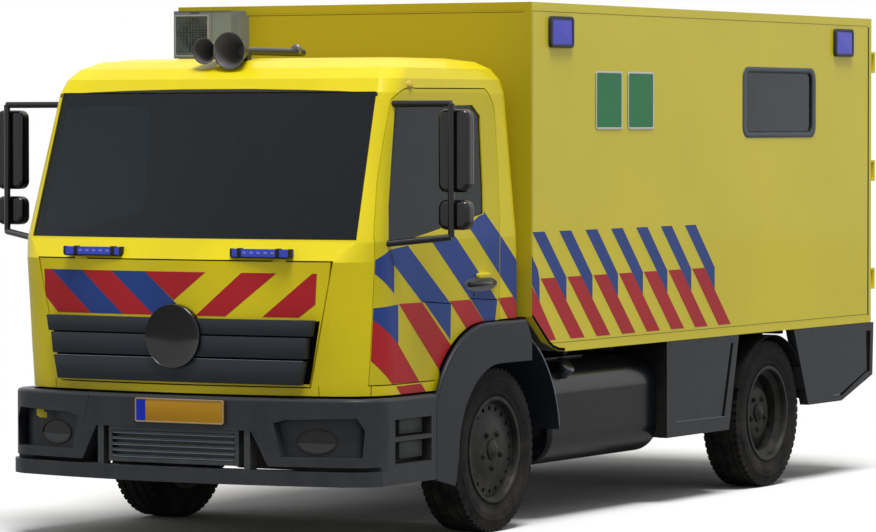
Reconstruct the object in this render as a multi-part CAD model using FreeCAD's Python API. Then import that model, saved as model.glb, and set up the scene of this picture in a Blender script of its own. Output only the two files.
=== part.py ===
import FreeCAD, Part
import math
import os

# Box-body ambulance on a cab-over truck chassis, in millimetres.
# X runs across, Y runs from the front bumper to the rear doors, Z is up from the ground.
# Everything is drawn from the front axle, and keep() moves it to the middle of the vehicle's length.

Vector = FreeCAD.Vector
UP = Vector(0, 0, 1)
ACROSS = Vector(1, 0, 0)
BACK = Vector(0, 1, 0)

# Main sizes
wheelbase = 3620.0
front_overhang = 1610.0
cab_length = 1864.0
cab_width = 2295.0
cab_base_z = 835.0
cab_top_z = 2668.0
cab_floor_z = 1200.0
bumper_proud = 70.0
cab_box_gap = 37.0
box_length = 4817.0
box_width = 2380.0
box_base_z = 987.0
box_top_z = 2994.0
hinge_radius = 9.0

cab_front_y = bumper_proud - front_overhang
cab_rear_y = cab_front_y + cab_length
cab_half = cab_width / 2
cab_height = cab_top_z - cab_base_z
box_front_y = cab_rear_y + cab_box_gap
box_rear_y = box_front_y + box_length
box_half = box_width / 2
box_height = box_top_z - box_base_z
total_length = front_overhang + box_rear_y + 2 * hinge_radius
front_axle_y = front_overhang - total_length / 2

# Clearances
door_gap = 6.0
running_gap = 5.0
pin_clearance = 0.05
seat_gap = 0.3
edge_tolerance = 1.0
overrun = 40.0

# Wheels, tyres and hubs
tyre_diameter = 930.0
tyre_width = 255.0
tyre_shoulder = 22.0
tyre_face_half = 1154.0
rim_diameter = 600.0
rim_seat_diameter = 572.0
rim_wall = 9.0
rim_well_depth = 34.0
disc_wall = 12.0
hub_face_radius = 165.0
hub_radius = 95.0
hub_bore_radius = 55.0
front_disc_set_in = 26.0
rear_disc_set_in = 78.0
front_disc_rise = 18.0
rear_disc_rise = 46.0
drum_radius = 205.0
drum_width = 88.0
spindle_radius = 38.0
wheel_nut_circle_radius = 105.0
wheel_nut_radius = 17.0
wheel_nut_height = 20.0
wheel_nut_count = 5
tyre_radius = tyre_diameter / 2
wheel_x = tyre_face_half - tyre_width / 2
axle_z = tyre_radius

# Ladder frame
frame_width = 860.0
rail_top_z = 890.0
rail_depth = 200.0
rail_flange = 70.0
rail_wall = 8.0
frame_front_y = -1250.0
frame_rear_inset = 110.0
cross_member_depth = 150.0
cross_member_length = 80.0
cross_member_place_shares = (0.01, 0.30, 0.47, 0.62, 0.90, 0.985)
guard_bar_height = 100.0
guard_bar_depth = 60.0
guard_bar_half = 1080.0
guard_bar_z = 520.0
guard_hanger_width = 60.0
cab_mount_length = 100.0
cab_mount_front_y = -1150.0
cab_mount_rear_y = 160.0
cab_mount_height = 70.0
rail_half = frame_width / 2
rail_base_z = rail_top_z - rail_depth
frame_rear_y = box_rear_y - frame_rear_inset
frame_length = frame_rear_y - frame_front_y

# Engine and gearbox block with its mounts
engine_half = 300.0
engine_front_y = -1100.0
engine_length = 1020.0
engine_base_z = 590.0
engine_top_z = 1150.0
engine_mount_width = 110.0
engine_mount_height = 60.0

# Springs and spring hangers
spring_width = 76.0
spring_half_length = 640.0
spring_leaf = 16.0
spring_rise = 95.0
spring_leaf_count = 3
spring_leaf_step = 150.0
spring_eye_radius = 28.0
axle_pad_height = 30.0

# Front axle, king pins, knuckles and track rod
king_pin_x = 840.0
king_pin_radius = 22.0
beam_boss_radius = 48.0
beam_boss_height = 120.0
beam_width = 90.0
beam_depth = 80.0
beam_drop = 120.0
beam_drop_half = 520.0
knuckle_lug_radius = 52.0
knuckle_lug_height = 42.0
knuckle_body_width = 90.0
steer_arm_length = 190.0
steer_arm_inset = 30.0
steer_arm_width = 50.0
steer_arm_height = 30.0
steer_arm_drop = 20.0
track_rod_radius = 18.0
track_rod_end_radius = 30.0
track_rod_pin_radius = 12.0
spring_seat_half = 395.0

# Rear axle and propeller shaft
rear_tube_radius = 62.0
rear_case_radius = 190.0
rear_case_width = 210.0
rear_nose_radius = 70.0
rear_nose_length = 330.0
prop_radius = 45.0

# Front mudguards
guard_plate_x = 1190.0
guard_plate_wall = 25.0
guard_plate_round = 16.0
guard_inner_x = 800.0
guard_sheet_wall = 12.0
arch_radius = 490.0
guard_radius = 700.0
guard_curve_radius = 671.5
guard_curve_y = -120.0
guard_top_z = 1190.0
guard_front_y = -740.0
guard_front_base_z = 345.0
guard_arch_base_z = 300.0
guard_lip_y = -530.0
guard_bend_deg = 35.0
guard_rear_y = 378.0
guard_rear_corner_y = 313.0
guard_rear_drop = 120.0
guard_sheet_end_z = 540.0
guard_sheet_front_z = 650.0
guard_bracket_z = 830.0
guard_bracket_height = 40.0
guard_bracket_length = 50.0

# Bumper
bumper_half = 1190.0
bumper_base_z = 352.0
bumper_top_z = 822.0
bumper_wall = 90.0
bumper_rear_y = -746.0
bumper_plate_room = 14.0
bumper_corner_x = 1000.0
bumper_corner_y = -1475.0
bumper_turn_x = 1140.0
bumper_turn_y = -1395.0
bumper_side_y = -1270.0
bumper_top_round = 18.0
bumper_slit_base_z = 432.0
bumper_slit_height = 24.0
bumper_slit_end_y = -1330.0
bumper_mouth_top_z = 645.0
bumper_mouth_top_half = 500.0
bumper_mouth_base_half = 600.0
lamp_bay_inner_x = 630.0
lamp_bay_outer_x = 1125.0
lamp_bay_base_z = 505.0
lamp_bay_top_z = 722.0
lamp_bay_shares = ((0.09, 0.0), (0.0, 0.85), (0.14, 0.94), (0.93, 1.0), (1.0, 0.7), (0.98, 0.0))
lamp_bay_depth = 62.0
bumper_front_y = bumper_plate_room - front_overhang
lamp_centre_x = 844.0
lamp_centre_z = 589.0
lamp_half_width = 117.0
lamp_half_height = 70.0
lamp_depth = 60.0
step_front_y = -1200.0
step_rear_y = -800.0
step_low_base_z = 460.0
step_low_top_z = 585.0
step_high_base_z = 607.0
step_high_top_z = 705.0

# Radiator pack in the bumper's mouth, and its two posts
radiator_half = 420.0
radiator_front_y = -1560.0
radiator_depth = 70.0
radiator_base_z = 450.0
radiator_frame = 22.0
radiator_rib_count = 6
radiator_rib_share = 0.45
radiator_post_width = 38.0
radiator_post_gap = 34.0
radiator_arm_height = 30.0
bumper_arm_base_z = 700.0
bumper_arm_height = 60.0

# Fuel tank with its brackets and filler neck
tank_front_y = 720.0
tank_length = 1410.0
tank_inner_x = 470.0
tank_outer_x = 1120.0
tank_base_z = 320.0
tank_top_z = 915.0
tank_corner = 180.0
tank_end_round = 30.0
tank_neck_radius = 55.0
tank_neck_height = 35.0
tank_neck_inset = 230.0
tank_bracket_width = 60.0
tank_bracket_shares = (0.25, 0.75)

# Silencer and air tanks on the other side
silencer_radius = 180.0
silencer_length = 820.0
silencer_front_y = 860.0
silencer_x = -760.0
silencer_z = 620.0
silencer_pipe_radius = 45.0
silencer_pipe_inset = 60.0
silencer_pipe_bend = 90.0
silencer_bracket_wall = 44.0

# Side skirts
skirt_wall = 60.0
skirt_top_z = 984.0
skirt_mid_axle_gap = 516.0
skirt_mid_length = 1009.0
skirt_mid_base_z = 402.0
skirt_mid_base_share = 0.859
skirt_rear_axle_gap = 301.0
skirt_rear_base_z = 490.0
skirt_rear_base_shares = (0.178, 0.593, 0.988)
skirt_rear_step_share = 0.30
skirt_arm_width = 60.0
skirt_arm_height = 50.0
skirt_mid_arm_shares = (0.15, 0.75)
skirt_rear_arm_shares = (0.25, 0.80)

# Box panels
box_wall = 45.0
box_floor_wall = 50.0
box_roof_wall = 45.0
box_cut_high_z = 1201.0
box_cut_mid_y_share = 0.0413
box_cut_mid_z_share = 0.29
box_cut_length = 405.0
box_frame_depth = 61.0
box_frame_post = 95.0
box_frame_head = 110.0
box_frame_sill = 60.0
box_door_wall = 40.0
bearer_height = 57.0
bearer_width = 60.0
bearer_count = 8
bearer_half = 860.0
window_front_y = 3157.0
window_length = 1080.0
window_top_gap = 342.0
window_height = 432.0
window_corner = 70.0
window_glass_wall = 16.0
window_glass_inset = 8.0
rear_window_width = 520.0
rear_window_top_gap = 434.0
rear_window_height = 520.0
rear_window_corner = 60.0
hinge_height = 110.0
hinge_place_shares = (0.14, 0.5, 0.86)
hinge_x_inset = 6.0
hinge_pin_radius = 4.5
hinge_ear_height = 14.0

# Lamps on the box and on the cab
side_lamp_length = 277.0
side_lamp_height = 172.0
side_lamp_wall = 18.0
side_lamp_front_y = 566.0
side_lamp_rear_y = 4524.0
side_lamp_top_gap = 80.0
side_lamp_corner = 26.0
rear_lamp_width = 330.0
rear_lamp_height = 120.0
rear_lamp_wall = 50.0
rear_lamp_x = 700.0
rear_lamp_z = 660.0
light_bar_inner_x = 358.0
light_bar_outer_x = 726.0
light_bar_height = 42.0
light_bar_depth = 34.0
light_bar_z = 1605.0
light_bar_y = -1520.0

# Cooling unit on the box's front wall
cooler_inner_x = -697.0
cooler_outer_x = -1117.0
cooler_depth = 165.0
cooler_roof_gap = 20.0
cooler_top_gap = 28.0
cooler_step = 56.0
cooler_step_width = 23.0
cooler_fan_radius = 108.0
cooler_fan_pocket = 110.0
cooler_fan_x = -985.0
fan_radius = 94.0
fan_hub_radius = 34.0
fan_width = 46.0
fan_blade_count = 5
fan_blade_wall = 5.0
fan_twist_deg = 28.0
fan_shaft_radius = 8.0
fan_set_in = 30.0

# Cab panels
cab_wall = 45.0
cab_door_wall = 55.0
cab_door_inner_x = 1000.0
cab_hinge_inner_x = 1055.0
cab_hinge_width = 36.0
cab_hinge_height = 90.0
cab_hinge_height_shares = (0.10, 0.38)
cab_door_axis_x = 1125.0
cab_door_axis_gap = 7.0
cab_tunnel_side_gap = 30.0
flap_corner_cut = 9.0
flap_corner_drop = 110.0
flap_skin_wall = 12.0
flap_pan_inset = 25.0
flap_hinge_set_in = 40.0
flap_hinge_x = 600.0
flap_hinge_width = 80.0
cab_glass_wall = 10.0
windscreen_base_half = 1050.0
windscreen_top_half = 1022.0
windscreen_base_z = 1676.0
windscreen_top_z = 2476.0
cab_glass_inset = 8.0
cab_bay_base_z = 905.0
cab_bay_half = 840.0
cab_firewall_y = -1260.0
cab_cowl_z = 1600.0
cab_floor_wall = 50.0
cab_tail_y = -640.0
cab_step_inner_x = 780.0
cab_step_front_y = -1280.0
cab_step_rear_y = -700.0
cab_rear_corner = 90.0
flap_wall = 35.0
flap_gap = 7.5
flap_top_z = 1557.0
flap_base_z = 884.0
flap_top_half = 948.0
flap_base_half = 800.0
grille_top_half = 858.0
grille_base_half = 781.0
grille_top_z = 1243.0
grille_base_z = 900.0
grille_proud = 14.0
grille_slat_count = 3
grille_slat_gap = 10.0
dish_radius = 173.0
dish_z = 1145.0
dish_proud = 22.0
dish_wall = 24.0

# Things in the cab
dash_rear_y = -1010.0
dash_base_z = 1420.0
dash_top_z = 1640.0
dash_side_gap = 30.0
wheel_rim_radius = 215.0
wheel_tube_radius = 15.0
wheel_centre_x = 560.0
wheel_centre_y = -880.0
wheel_centre_z = 1790.0
wheel_lean_deg = 35.0
wheel_hub_radius = 55.0
wheel_hub_wall = 40.0
wheel_column_radius = 30.0
wheel_column_length = 250.0
seat_x = 560.0
seat_width = 500.0
seat_front_y = -640.0
seat_depth = 500.0
seat_cushion_z = 1560.0
seat_cushion_height = 130.0
seat_back_height = 680.0
seat_back_wall = 120.0
seat_head_height = 180.0
seat_head_width = 260.0
seat_base_half = 180.0

# Mirrors on the doors
mirror_x = 1450.0
mirror_y = -1045.0
mirror_tube_radius = 18.0
mirror_stub_radius = 15.0
mirror_head_y = -988.0
mirror_head_round = 24.0
mirror_top_z = 2410.0
mirror_base_z = 1690.0
mirror_head_width = 190.0
mirror_head_wall = 84.0
mirror_main_base_z = 1930.0
mirror_main_top_z = 2380.0
mirror_small_base_z = 1728.0
mirror_small_top_z = 1890.0
mirror_head_corner = 46.0
mirror_top_arm_y = -1040.0
mirror_low_arm_y = -1215.0
mirror_low_drop = 38.0

# Horns on the roof
horn_z = 2706.0
horn_big_x = 45.0
horn_small_x = -119.0
horn_mouth_y = -1050.0
horn_big_radius = 104.0
horn_small_radius = 74.0
horn_length = 180.0
horn_pipe_radius = 22.0
horn_pipe_rear_y = -260.0
horn_wall = 5.0
horn_hollow_share = 0.8
horn_foot_width = 44.0
horn_foot_reach = 150.0


def box(low, high):
    """Block between two corners."""
    size = [b - a for a, b in zip(low, high)]
    return Part.makeBox(*size, Vector(*low))


def rod(start, end, radius):
    """Round bar from one point to another."""
    start = Vector(*start)
    along = Vector(*end) - start
    return Part.makeCylinder(radius, along.Length, start, along)


def cone(start, end, radius_start, radius_end):
    """Round taper from one point to another."""
    start = Vector(*start)
    along = Vector(*end) - start
    return Part.makeCone(radius_start, radius_end, along.Length, start, along)


def closed_wire(points, place):
    """Wire through corners: a pair is a corner, and a pair of pairs is an arc's middle and end."""
    edges = []
    start = points[0]
    for item in list(points[1:]) + [points[0]]:
        if isinstance(item[0], tuple):
            middle, end = item
            edges.append(Part.Arc(place(*start), place(*middle), place(*end)).toShape())
        else:
            end = item
            if start != end:
                edges.append(Part.LineSegment(place(*start), place(*end)).toShape())
        start = end
    return Part.Wire(edges)


def along_x(points, low, high):
    """Outline in Y and Z, from one X to another."""
    wire = closed_wire(points, lambda y, z: Vector(low, y, z))
    return Part.Face(wire).extrude(ACROSS * (high - low))


def along_y(points, low, high):
    """Outline in X and Z, from one Y to another."""
    wire = closed_wire(points, lambda x, z: Vector(x, low, z))
    return Part.Face(wire).extrude(BACK * (high - low))


def along_z(points, low, high):
    """Outline in X and Y, from one Z to another."""
    wire = closed_wire(points, lambda x, y: Vector(x, y, low))
    return Part.Face(wire).extrude(UP * (high - low))


def rounded(low, high, corner):
    """Corners of a rectangle with round corners, for the outlines above."""
    (a0, b0), (a1, b1) = low, high
    bend = corner * (1 - math.sqrt(0.5))
    return [
        (a0 + corner, b0), (a1 - corner, b0),
        ((a1 - bend, b0 + bend), (a1, b0 + corner)), (a1, b1 - corner),
        ((a1 - bend, b1 - bend), (a1 - corner, b1)), (a0 + corner, b1),
        ((a0 + bend, b1 - bend), (a0, b1 - corner)), (a0, b0 + corner),
        ((a0 + bend, b0 + bend), (a0 + corner, b0)),
    ]


def joined(shapes):
    """One solid from pieces that overlap or touch."""
    return shapes[0].fuse(shapes[1:]).removeSplitter()


def other_side(shape):
    """The same piece on the other side of the vehicle."""
    return shape.mirror(Vector(0, 0, 0), ACROSS)


def both_sides(shape):
    return [shape, other_side(shape)]


def keep(name, *shapes):
    """Write one node, moved so that the middle of the vehicle's length is at Y zero."""
    solids = [solid for shape in shapes for solid in shape.Solids]
    node = solids[0] if len(solids) == 1 else Part.makeCompound(solids)
    node = node.copy()
    node.translate(BACK * front_axle_y)
    node.exportStep(f"parts/{name}.step")
    valid = all(solid.isValid() for solid in solids)
    print(f"{name}: {len(solids)} solid(s), {node.Volume / 1e9:.4f} m3, valid {valid}")


# Cab outline

# Each row is one level of the cab: its height, half width, rear end, front middle, front
# corner and the start of the straight side, as shares of the cab's height, half width and length.
cab_level_shares = (
    # height, half, rear, front, corner x, corner y, side
    (0.000, 1.000, 1.000, 0.006, 0.780, 0.062, 0.225),
    (0.394, 1.000, 1.000, 0.000, 0.826, 0.042, 0.182),
    (0.452, 1.000, 0.998, 0.029, 0.918, 0.087, 0.168),
    (0.893, 0.955, 0.972, 0.222, 0.900, 0.231, 0.305),
    (0.935, 0.945, 0.955, 0.243, 0.880, 0.256, 0.340),
    (0.968, 0.920, 0.925, 0.279, 0.845, 0.298, 0.385),
    (0.990, 0.870, 0.880, 0.337, 0.780, 0.362, 0.450),
    (1.000, 0.770, 0.810, 0.420, 0.670, 0.450, 0.530),
)
corner_lean_share = 0.26
roof_levels_share = 0.9


def cab_level(row, inset):
    """One closed ring round the cab, moved inwards by the inset."""
    height, half, rear, front, corner_x, corner_y, side = row
    z = cab_base_z + height * cab_height
    if height > roof_levels_share:
        z = z - inset
    x = half * cab_half - inset
    y_rear = cab_front_y + rear * cab_length - inset
    y_front = cab_front_y + front * cab_length + inset
    corner = (corner_x * cab_half - inset * corner_lean_share, cab_front_y + corner_y * cab_length + inset)
    y_side = cab_front_y + side * cab_length
    bend = corner_bend(corner, (x, y_side))
    turn = cab_rear_corner
    cut = turn * (1 - math.sqrt(0.5))
    ring = [
        corner, (bend, (x, y_side)), (x, y_rear - turn), ((x - cut, y_rear - cut), (x - turn, y_rear)),
        (turn - x, y_rear), ((cut - x, y_rear - cut), (-x, y_rear - turn)), (-x, y_side),
        ((-bend[0], bend[1]), (-corner[0], corner[1])), ((0, y_front), corner),
    ]
    return closed_wire(ring, lambda a, b: Vector(a, b, z))


def corner_bend(corner, side):
    """Middle of the arc that leaves the straight side smoothly and ends at the front corner."""
    across = side[0] - corner[0]
    along = side[1] - corner[1]
    radius = (across ** 2 + along ** 2) / (2 * across)
    half_turn = math.asin(along / radius) / 2
    return (side[0] - radius * (1 - math.cos(half_turn)), side[1] - radius * math.sin(half_turn))


def cab_form(inset):
    """The cab's closed outer form, or with an inset the space inside its walls."""
    rings = [cab_level(row, inset) for row in cab_level_shares]
    return Part.makeLoft(rings, True, True)


def cab_point(share):
    """A place on the cab's side from its share of the length and height."""
    along, height = share
    return (cab_front_y + along * cab_length, cab_base_z + height * cab_height)


def cab_points(shares):
    return [
        (cab_point(item[0]), cab_point(item[1])) if isinstance(item[0], tuple) else cab_point(item)
        for item in shares
    ]


# Door edge above the wheel's arch, from the lower front corner round to the sill's rear end.
door_upper_shares = (
    (0.854, 0.199), (0.856, 0.415), (0.867, 0.600), (0.868, 0.815),
    ((0.854, 0.868), (0.815, 0.906)), (0.395, 0.904),
    ((0.310, 0.895), (0.261, 0.868)), (0.212, 0.744), (0.169, 0.622), (0.126, 0.464),
)
door_front_share = 0.126
door_base_share = 0.032
door_window_shares = (
    (0.202, 0.440), (0.765, 0.524), (0.771, 0.600), (0.777, 0.824), (0.733, 0.857),
    (0.270, 0.851), (0.228, 0.690), (0.195, 0.555), (0.185, 0.455),
)


def door_outline(grow):
    """The cab door's edge, moved outwards by the gap given."""
    arch = guard_curve_radius + door_gap - grow
    base = cab_point((0, door_base_share))[1] - grow
    centre_z = guard_top_z - guard_curve_radius
    start = guard_curve_y - math.sqrt(arch ** 2 - (base - centre_z) ** 2)
    lean = math.radians(guard_bend_deg)
    bend = (guard_curve_y - arch * math.sin(lean), centre_z + arch * math.cos(lean))
    top = (guard_curve_y, centre_z + arch)
    low_front = (cab_point((door_front_share, 0))[0] - grow, base)
    upper = []
    middle = cab_point((0.5, 0.45))
    for item in cab_points(door_upper_shares):
        if isinstance(item[0], tuple):
            upper.append((away(item[0], middle, grow), away(item[1], middle, grow)))
        else:
            upper.append(away(item, middle, grow))
    rear = (upper[0][0], top[1])
    return [low_front, (start, base), (bend, top), rear] + upper[1:]


def away(point, middle, grow):
    """A point pushed out from the door's middle along both axes."""
    return tuple(p + math.copysign(grow, p - m) for p, m in zip(point, middle))


def chassis_frame():
    """Two channel rails, the cross members and the rear guard bar."""
    web = rail_half - rail_wall
    lip = rail_half - rail_flange
    channel = [
        (rail_half, rail_base_z), (rail_half, rail_top_z), (lip, rail_top_z),
        (lip, rail_top_z - rail_wall), (web, rail_top_z - rail_wall),
        (web, rail_base_z + rail_wall), (lip, rail_base_z + rail_wall), (lip, rail_base_z),
    ]
    pieces = both_sides(along_y(channel, frame_front_y, frame_rear_y))
    middle_z = (rail_top_z + rail_base_z) / 2
    for share in cross_member_place_shares:
        y = frame_front_y + share * frame_length
        pieces.append(box(
            (-web, y - cross_member_length / 2, middle_z - cross_member_depth / 2),
            (web, y + cross_member_length / 2, middle_z + cross_member_depth / 2)))
    bar_y = frame_rear_y - guard_bar_depth
    pieces.append(box((-guard_bar_half, bar_y, guard_bar_z),
                      (guard_bar_half, frame_rear_y, guard_bar_z + guard_bar_height)))
    pieces += both_sides(box((lip, bar_y, guard_bar_z),
                             (lip + guard_hanger_width, frame_rear_y, rail_base_z + rail_wall)))
    for axle_y in (0, wheelbase):
        for end in (-1, 1):
            y = axle_y + end * spring_half_length
            pieces += both_sides(box(
                (spring_seat_half - spring_width / 2, y - spring_eye_radius, spring_top_z()),
                (spring_seat_half + spring_width / 2, y + spring_eye_radius, rail_base_z + rail_wall)))
    tunnel = rail_half + cab_tunnel_side_gap
    pieces += both_sides(box((rail_half - rail_wall, cab_mount_front_y, rail_top_z - cab_mount_height),
                             (tunnel, cab_mount_front_y + cab_mount_length, rail_top_z)))
    pieces += both_sides(box((lip, cab_mount_rear_y, rail_top_z - rail_wall),
                             (rail_half, cab_mount_rear_y + cab_mount_length, cab_floor_z)))
    return joined(pieces)


def spring_base_z():
    """Underside of the spring pack where it sits on the axle."""
    return axle_z + rear_tube_radius + axle_pad_height


def spring_top_z():
    """Upper side of the main leaf at its ends, where the hangers stand on it."""
    return spring_base_z() + spring_rise + spring_leaf


def spring_pack(axle_y):
    """Leaves stacked on the axle, bent up to the eyes at both ends."""
    pieces = []
    for leaf in range(spring_leaf_count):
        half = spring_half_length - leaf * spring_leaf_step
        drop = (spring_leaf_count - 1 - leaf) * spring_leaf
        low = spring_base_z() + drop
        share = half / spring_half_length
        rise = (spring_rise - drop) * share ** 2
        points = [
            (axle_y - half, low + rise), ((axle_y, low), (axle_y + half, low + rise)),
            (axle_y + half, low + rise + spring_leaf),
            ((axle_y, low + spring_leaf), (axle_y - half, low + rise + spring_leaf)),
        ]
        pieces.append(along_x(points, spring_seat_half - spring_width / 2,
                              spring_seat_half + spring_width / 2))
    return pieces


def leaf_springs():
    packs = []
    for axle_y in (0, wheelbase):
        left = joined(spring_pack(axle_y))
        packs += both_sides(left)
    return packs


def engine_block():
    """Plain block for the engine and gearbox, with arms to the rails."""
    rear = engine_front_y + engine_length
    pieces = [box((-engine_half, engine_front_y, engine_base_z), (engine_half, rear, engine_top_z))]
    web = rail_half - rail_wall
    middle_z = (rail_top_z + rail_base_z) / 2
    for y in (engine_front_y + engine_mount_width, rear - 2 * engine_mount_width):
        pieces += both_sides(box(
            (engine_half, y, middle_z - engine_mount_height / 2),
            (web, y + engine_mount_width, middle_z + engine_mount_height / 2)))
    return joined(pieces)


def front_axle():
    """Dropped beam with an eye for each king pin and a pad under each spring."""
    half = beam_width / 2
    high = axle_z + beam_depth / 2
    low = axle_z - beam_depth / 2
    beam = [
        (-king_pin_x, low), (-beam_drop_half, low - beam_drop), (beam_drop_half, low - beam_drop),
        (king_pin_x, low), (king_pin_x, high), (beam_drop_half, high - beam_drop),
        (-beam_drop_half, high - beam_drop), (-king_pin_x, high),
    ]
    pieces = [along_y(beam, -half, half)]
    pieces += both_sides(rod((king_pin_x, 0, axle_z - beam_boss_height / 2),
                             (king_pin_x, 0, axle_z + beam_boss_height / 2), beam_boss_radius))
    pieces += both_sides(box(
        (spring_seat_half - spring_width / 2, -half, high - beam_drop - overrun),
        (spring_seat_half + spring_width / 2, half, spring_base_z())))
    beam = joined(pieces)
    bores = both_sides(rod((king_pin_x, 0, axle_z - beam_boss_height),
                           (king_pin_x, 0, axle_z + beam_boss_height), king_pin_radius + pin_clearance))
    return beam.cut(bores)


def knuckle():
    """King pin, its two lugs, the wheel's spindle and the steering arm."""
    lug_low = axle_z - beam_boss_height / 2 - running_gap - knuckle_lug_height
    lug_high = axle_z + beam_boss_height / 2 + running_gap + knuckle_lug_height
    inner_x = king_pin_x + beam_boss_radius + running_gap
    face_x = inner_x + steer_arm_inset
    pieces = [rod((king_pin_x, 0, lug_low), (king_pin_x, 0, lug_high), king_pin_radius)]
    for base in (lug_low, lug_high - knuckle_lug_height):
        pieces.append(rod((king_pin_x, 0, base), (king_pin_x, 0, base + knuckle_lug_height),
                          knuckle_lug_radius))
        pieces.append(box((king_pin_x, -knuckle_body_width / 2, base),
                          (face_x, knuckle_body_width / 2, base + knuckle_lug_height)))
    pieces.append(box((inner_x, -knuckle_body_width / 2, lug_low),
                      (face_x, knuckle_body_width / 2, lug_high)))
    tip_x = hub_outer_x(front_disc_set_in, front_disc_rise)
    pieces.append(rod((face_x, 0, axle_z), (tip_x, 0, axle_z), spindle_radius))
    arm_z = lug_low
    pieces.append(box((king_pin_x - steer_arm_width / 2, 0, arm_z),
                      (king_pin_x + steer_arm_width / 2, steer_arm_length, arm_z + steer_arm_height)))
    pieces.append(rod((king_pin_x, steer_arm_length, arm_z),
                      (king_pin_x, steer_arm_length, arm_z + steer_arm_height), track_rod_end_radius))
    pieces.append(rod((king_pin_x, steer_arm_length, arm_z - running_gap - 2 * track_rod_radius),
                      (king_pin_x, steer_arm_length, arm_z), track_rod_pin_radius))
    return joined(pieces)


def track_rod():
    """Rod with an eye round each steering arm's pin."""
    lug_low = axle_z - beam_boss_height / 2 - running_gap - knuckle_lug_height
    z = lug_low - running_gap - track_rod_radius
    pieces = [rod((-king_pin_x, steer_arm_length, z), (king_pin_x, steer_arm_length, z), track_rod_radius)]
    pieces += both_sides(rod((king_pin_x, steer_arm_length, z - track_rod_radius),
                             (king_pin_x, steer_arm_length, z + track_rod_radius), track_rod_end_radius))
    bores = both_sides(rod((king_pin_x, steer_arm_length, z - overrun),
                           (king_pin_x, steer_arm_length, z + overrun),
                           track_rod_pin_radius + pin_clearance))
    return joined(pieces).cut(bores)


def hub_inner_x():
    """Inner end of the hubs, clear of the knuckle."""
    return king_pin_x + beam_boss_radius + steer_arm_inset + 2 * running_gap


def hub_outer_x(set_in, rise):
    """End of the axle inside the hub of a wheel whose disc is set in by this much."""
    return tyre_face_half - set_in - rise - disc_wall


def rear_axle():
    """Tube, differential case and the propeller shaft to the gearbox."""
    end_x = hub_outer_x(rear_disc_set_in, rear_disc_rise)
    pieces = [rod((-end_x, wheelbase, axle_z), (end_x, wheelbase, axle_z), spindle_radius)]
    shoulder = hub_inner_x() - running_gap
    pieces.append(rod((-shoulder, wheelbase, axle_z), (shoulder, wheelbase, axle_z), rear_tube_radius))
    pieces.append(rod((-rear_case_width / 2, wheelbase, axle_z), (rear_case_width / 2, wheelbase, axle_z),
                      rear_case_radius))
    nose_y = wheelbase - rear_nose_length
    gearbox_y = engine_front_y + engine_length
    gearbox_z = rail_base_z
    pieces.append(cone((0, wheelbase, axle_z), (0, nose_y, axle_z), rear_case_radius / 2, rear_nose_radius))
    shaft = rod((0, nose_y, axle_z), (0, gearbox_y, gearbox_z), prop_radius)
    face = gearbox_y + seat_gap
    pieces.append(shaft.cut(box((-overrun * 2, face - overrun * 2, 0), (overrun * 2, face, wheelbase))))
    pieces += both_sides(box(
        (spring_seat_half - spring_width / 2, wheelbase - beam_width / 2, axle_z),
        (spring_seat_half + spring_width / 2, wheelbase + beam_width / 2, spring_base_z())))
    return joined(pieces)


def spun(points, x_scale, centre_y):
    """Turn a closed outline of distance along X and radius about the axle."""
    wire = closed_wire(points, lambda x, r: Vector(x * x_scale, centre_y, axle_z + r))
    return Part.Face(wire).revolve(Vector(0, centre_y, axle_z), ACROSS, 360)


def tyre(centre_y):
    """Tyre ring: tread, shoulders, side walls and beads."""
    outer = tyre_face_half
    inner = tyre_face_half - tyre_width
    bulge = tyre_shoulder
    seat = rim_seat_diameter / 2 + seat_gap
    wall = (tyre_radius + seat) / 2
    points = [
        (inner + bulge, seat), (outer - bulge, seat), (outer - bulge / 4, (seat + wall) / 2),
        (outer, wall), (outer - bulge / 3, tyre_radius - 2 * bulge),
        (outer - bulge, tyre_radius - bulge / 2),
        (outer - 2 * bulge, tyre_radius), (inner + 2 * bulge, tyre_radius),
        (inner + bulge, tyre_radius - bulge / 2), (inner + bulge / 3, tyre_radius - 2 * bulge),
        (inner, wall), (inner + bulge / 4, (seat + wall) / 2),
    ]
    return spun(points, 1, centre_y)


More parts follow.
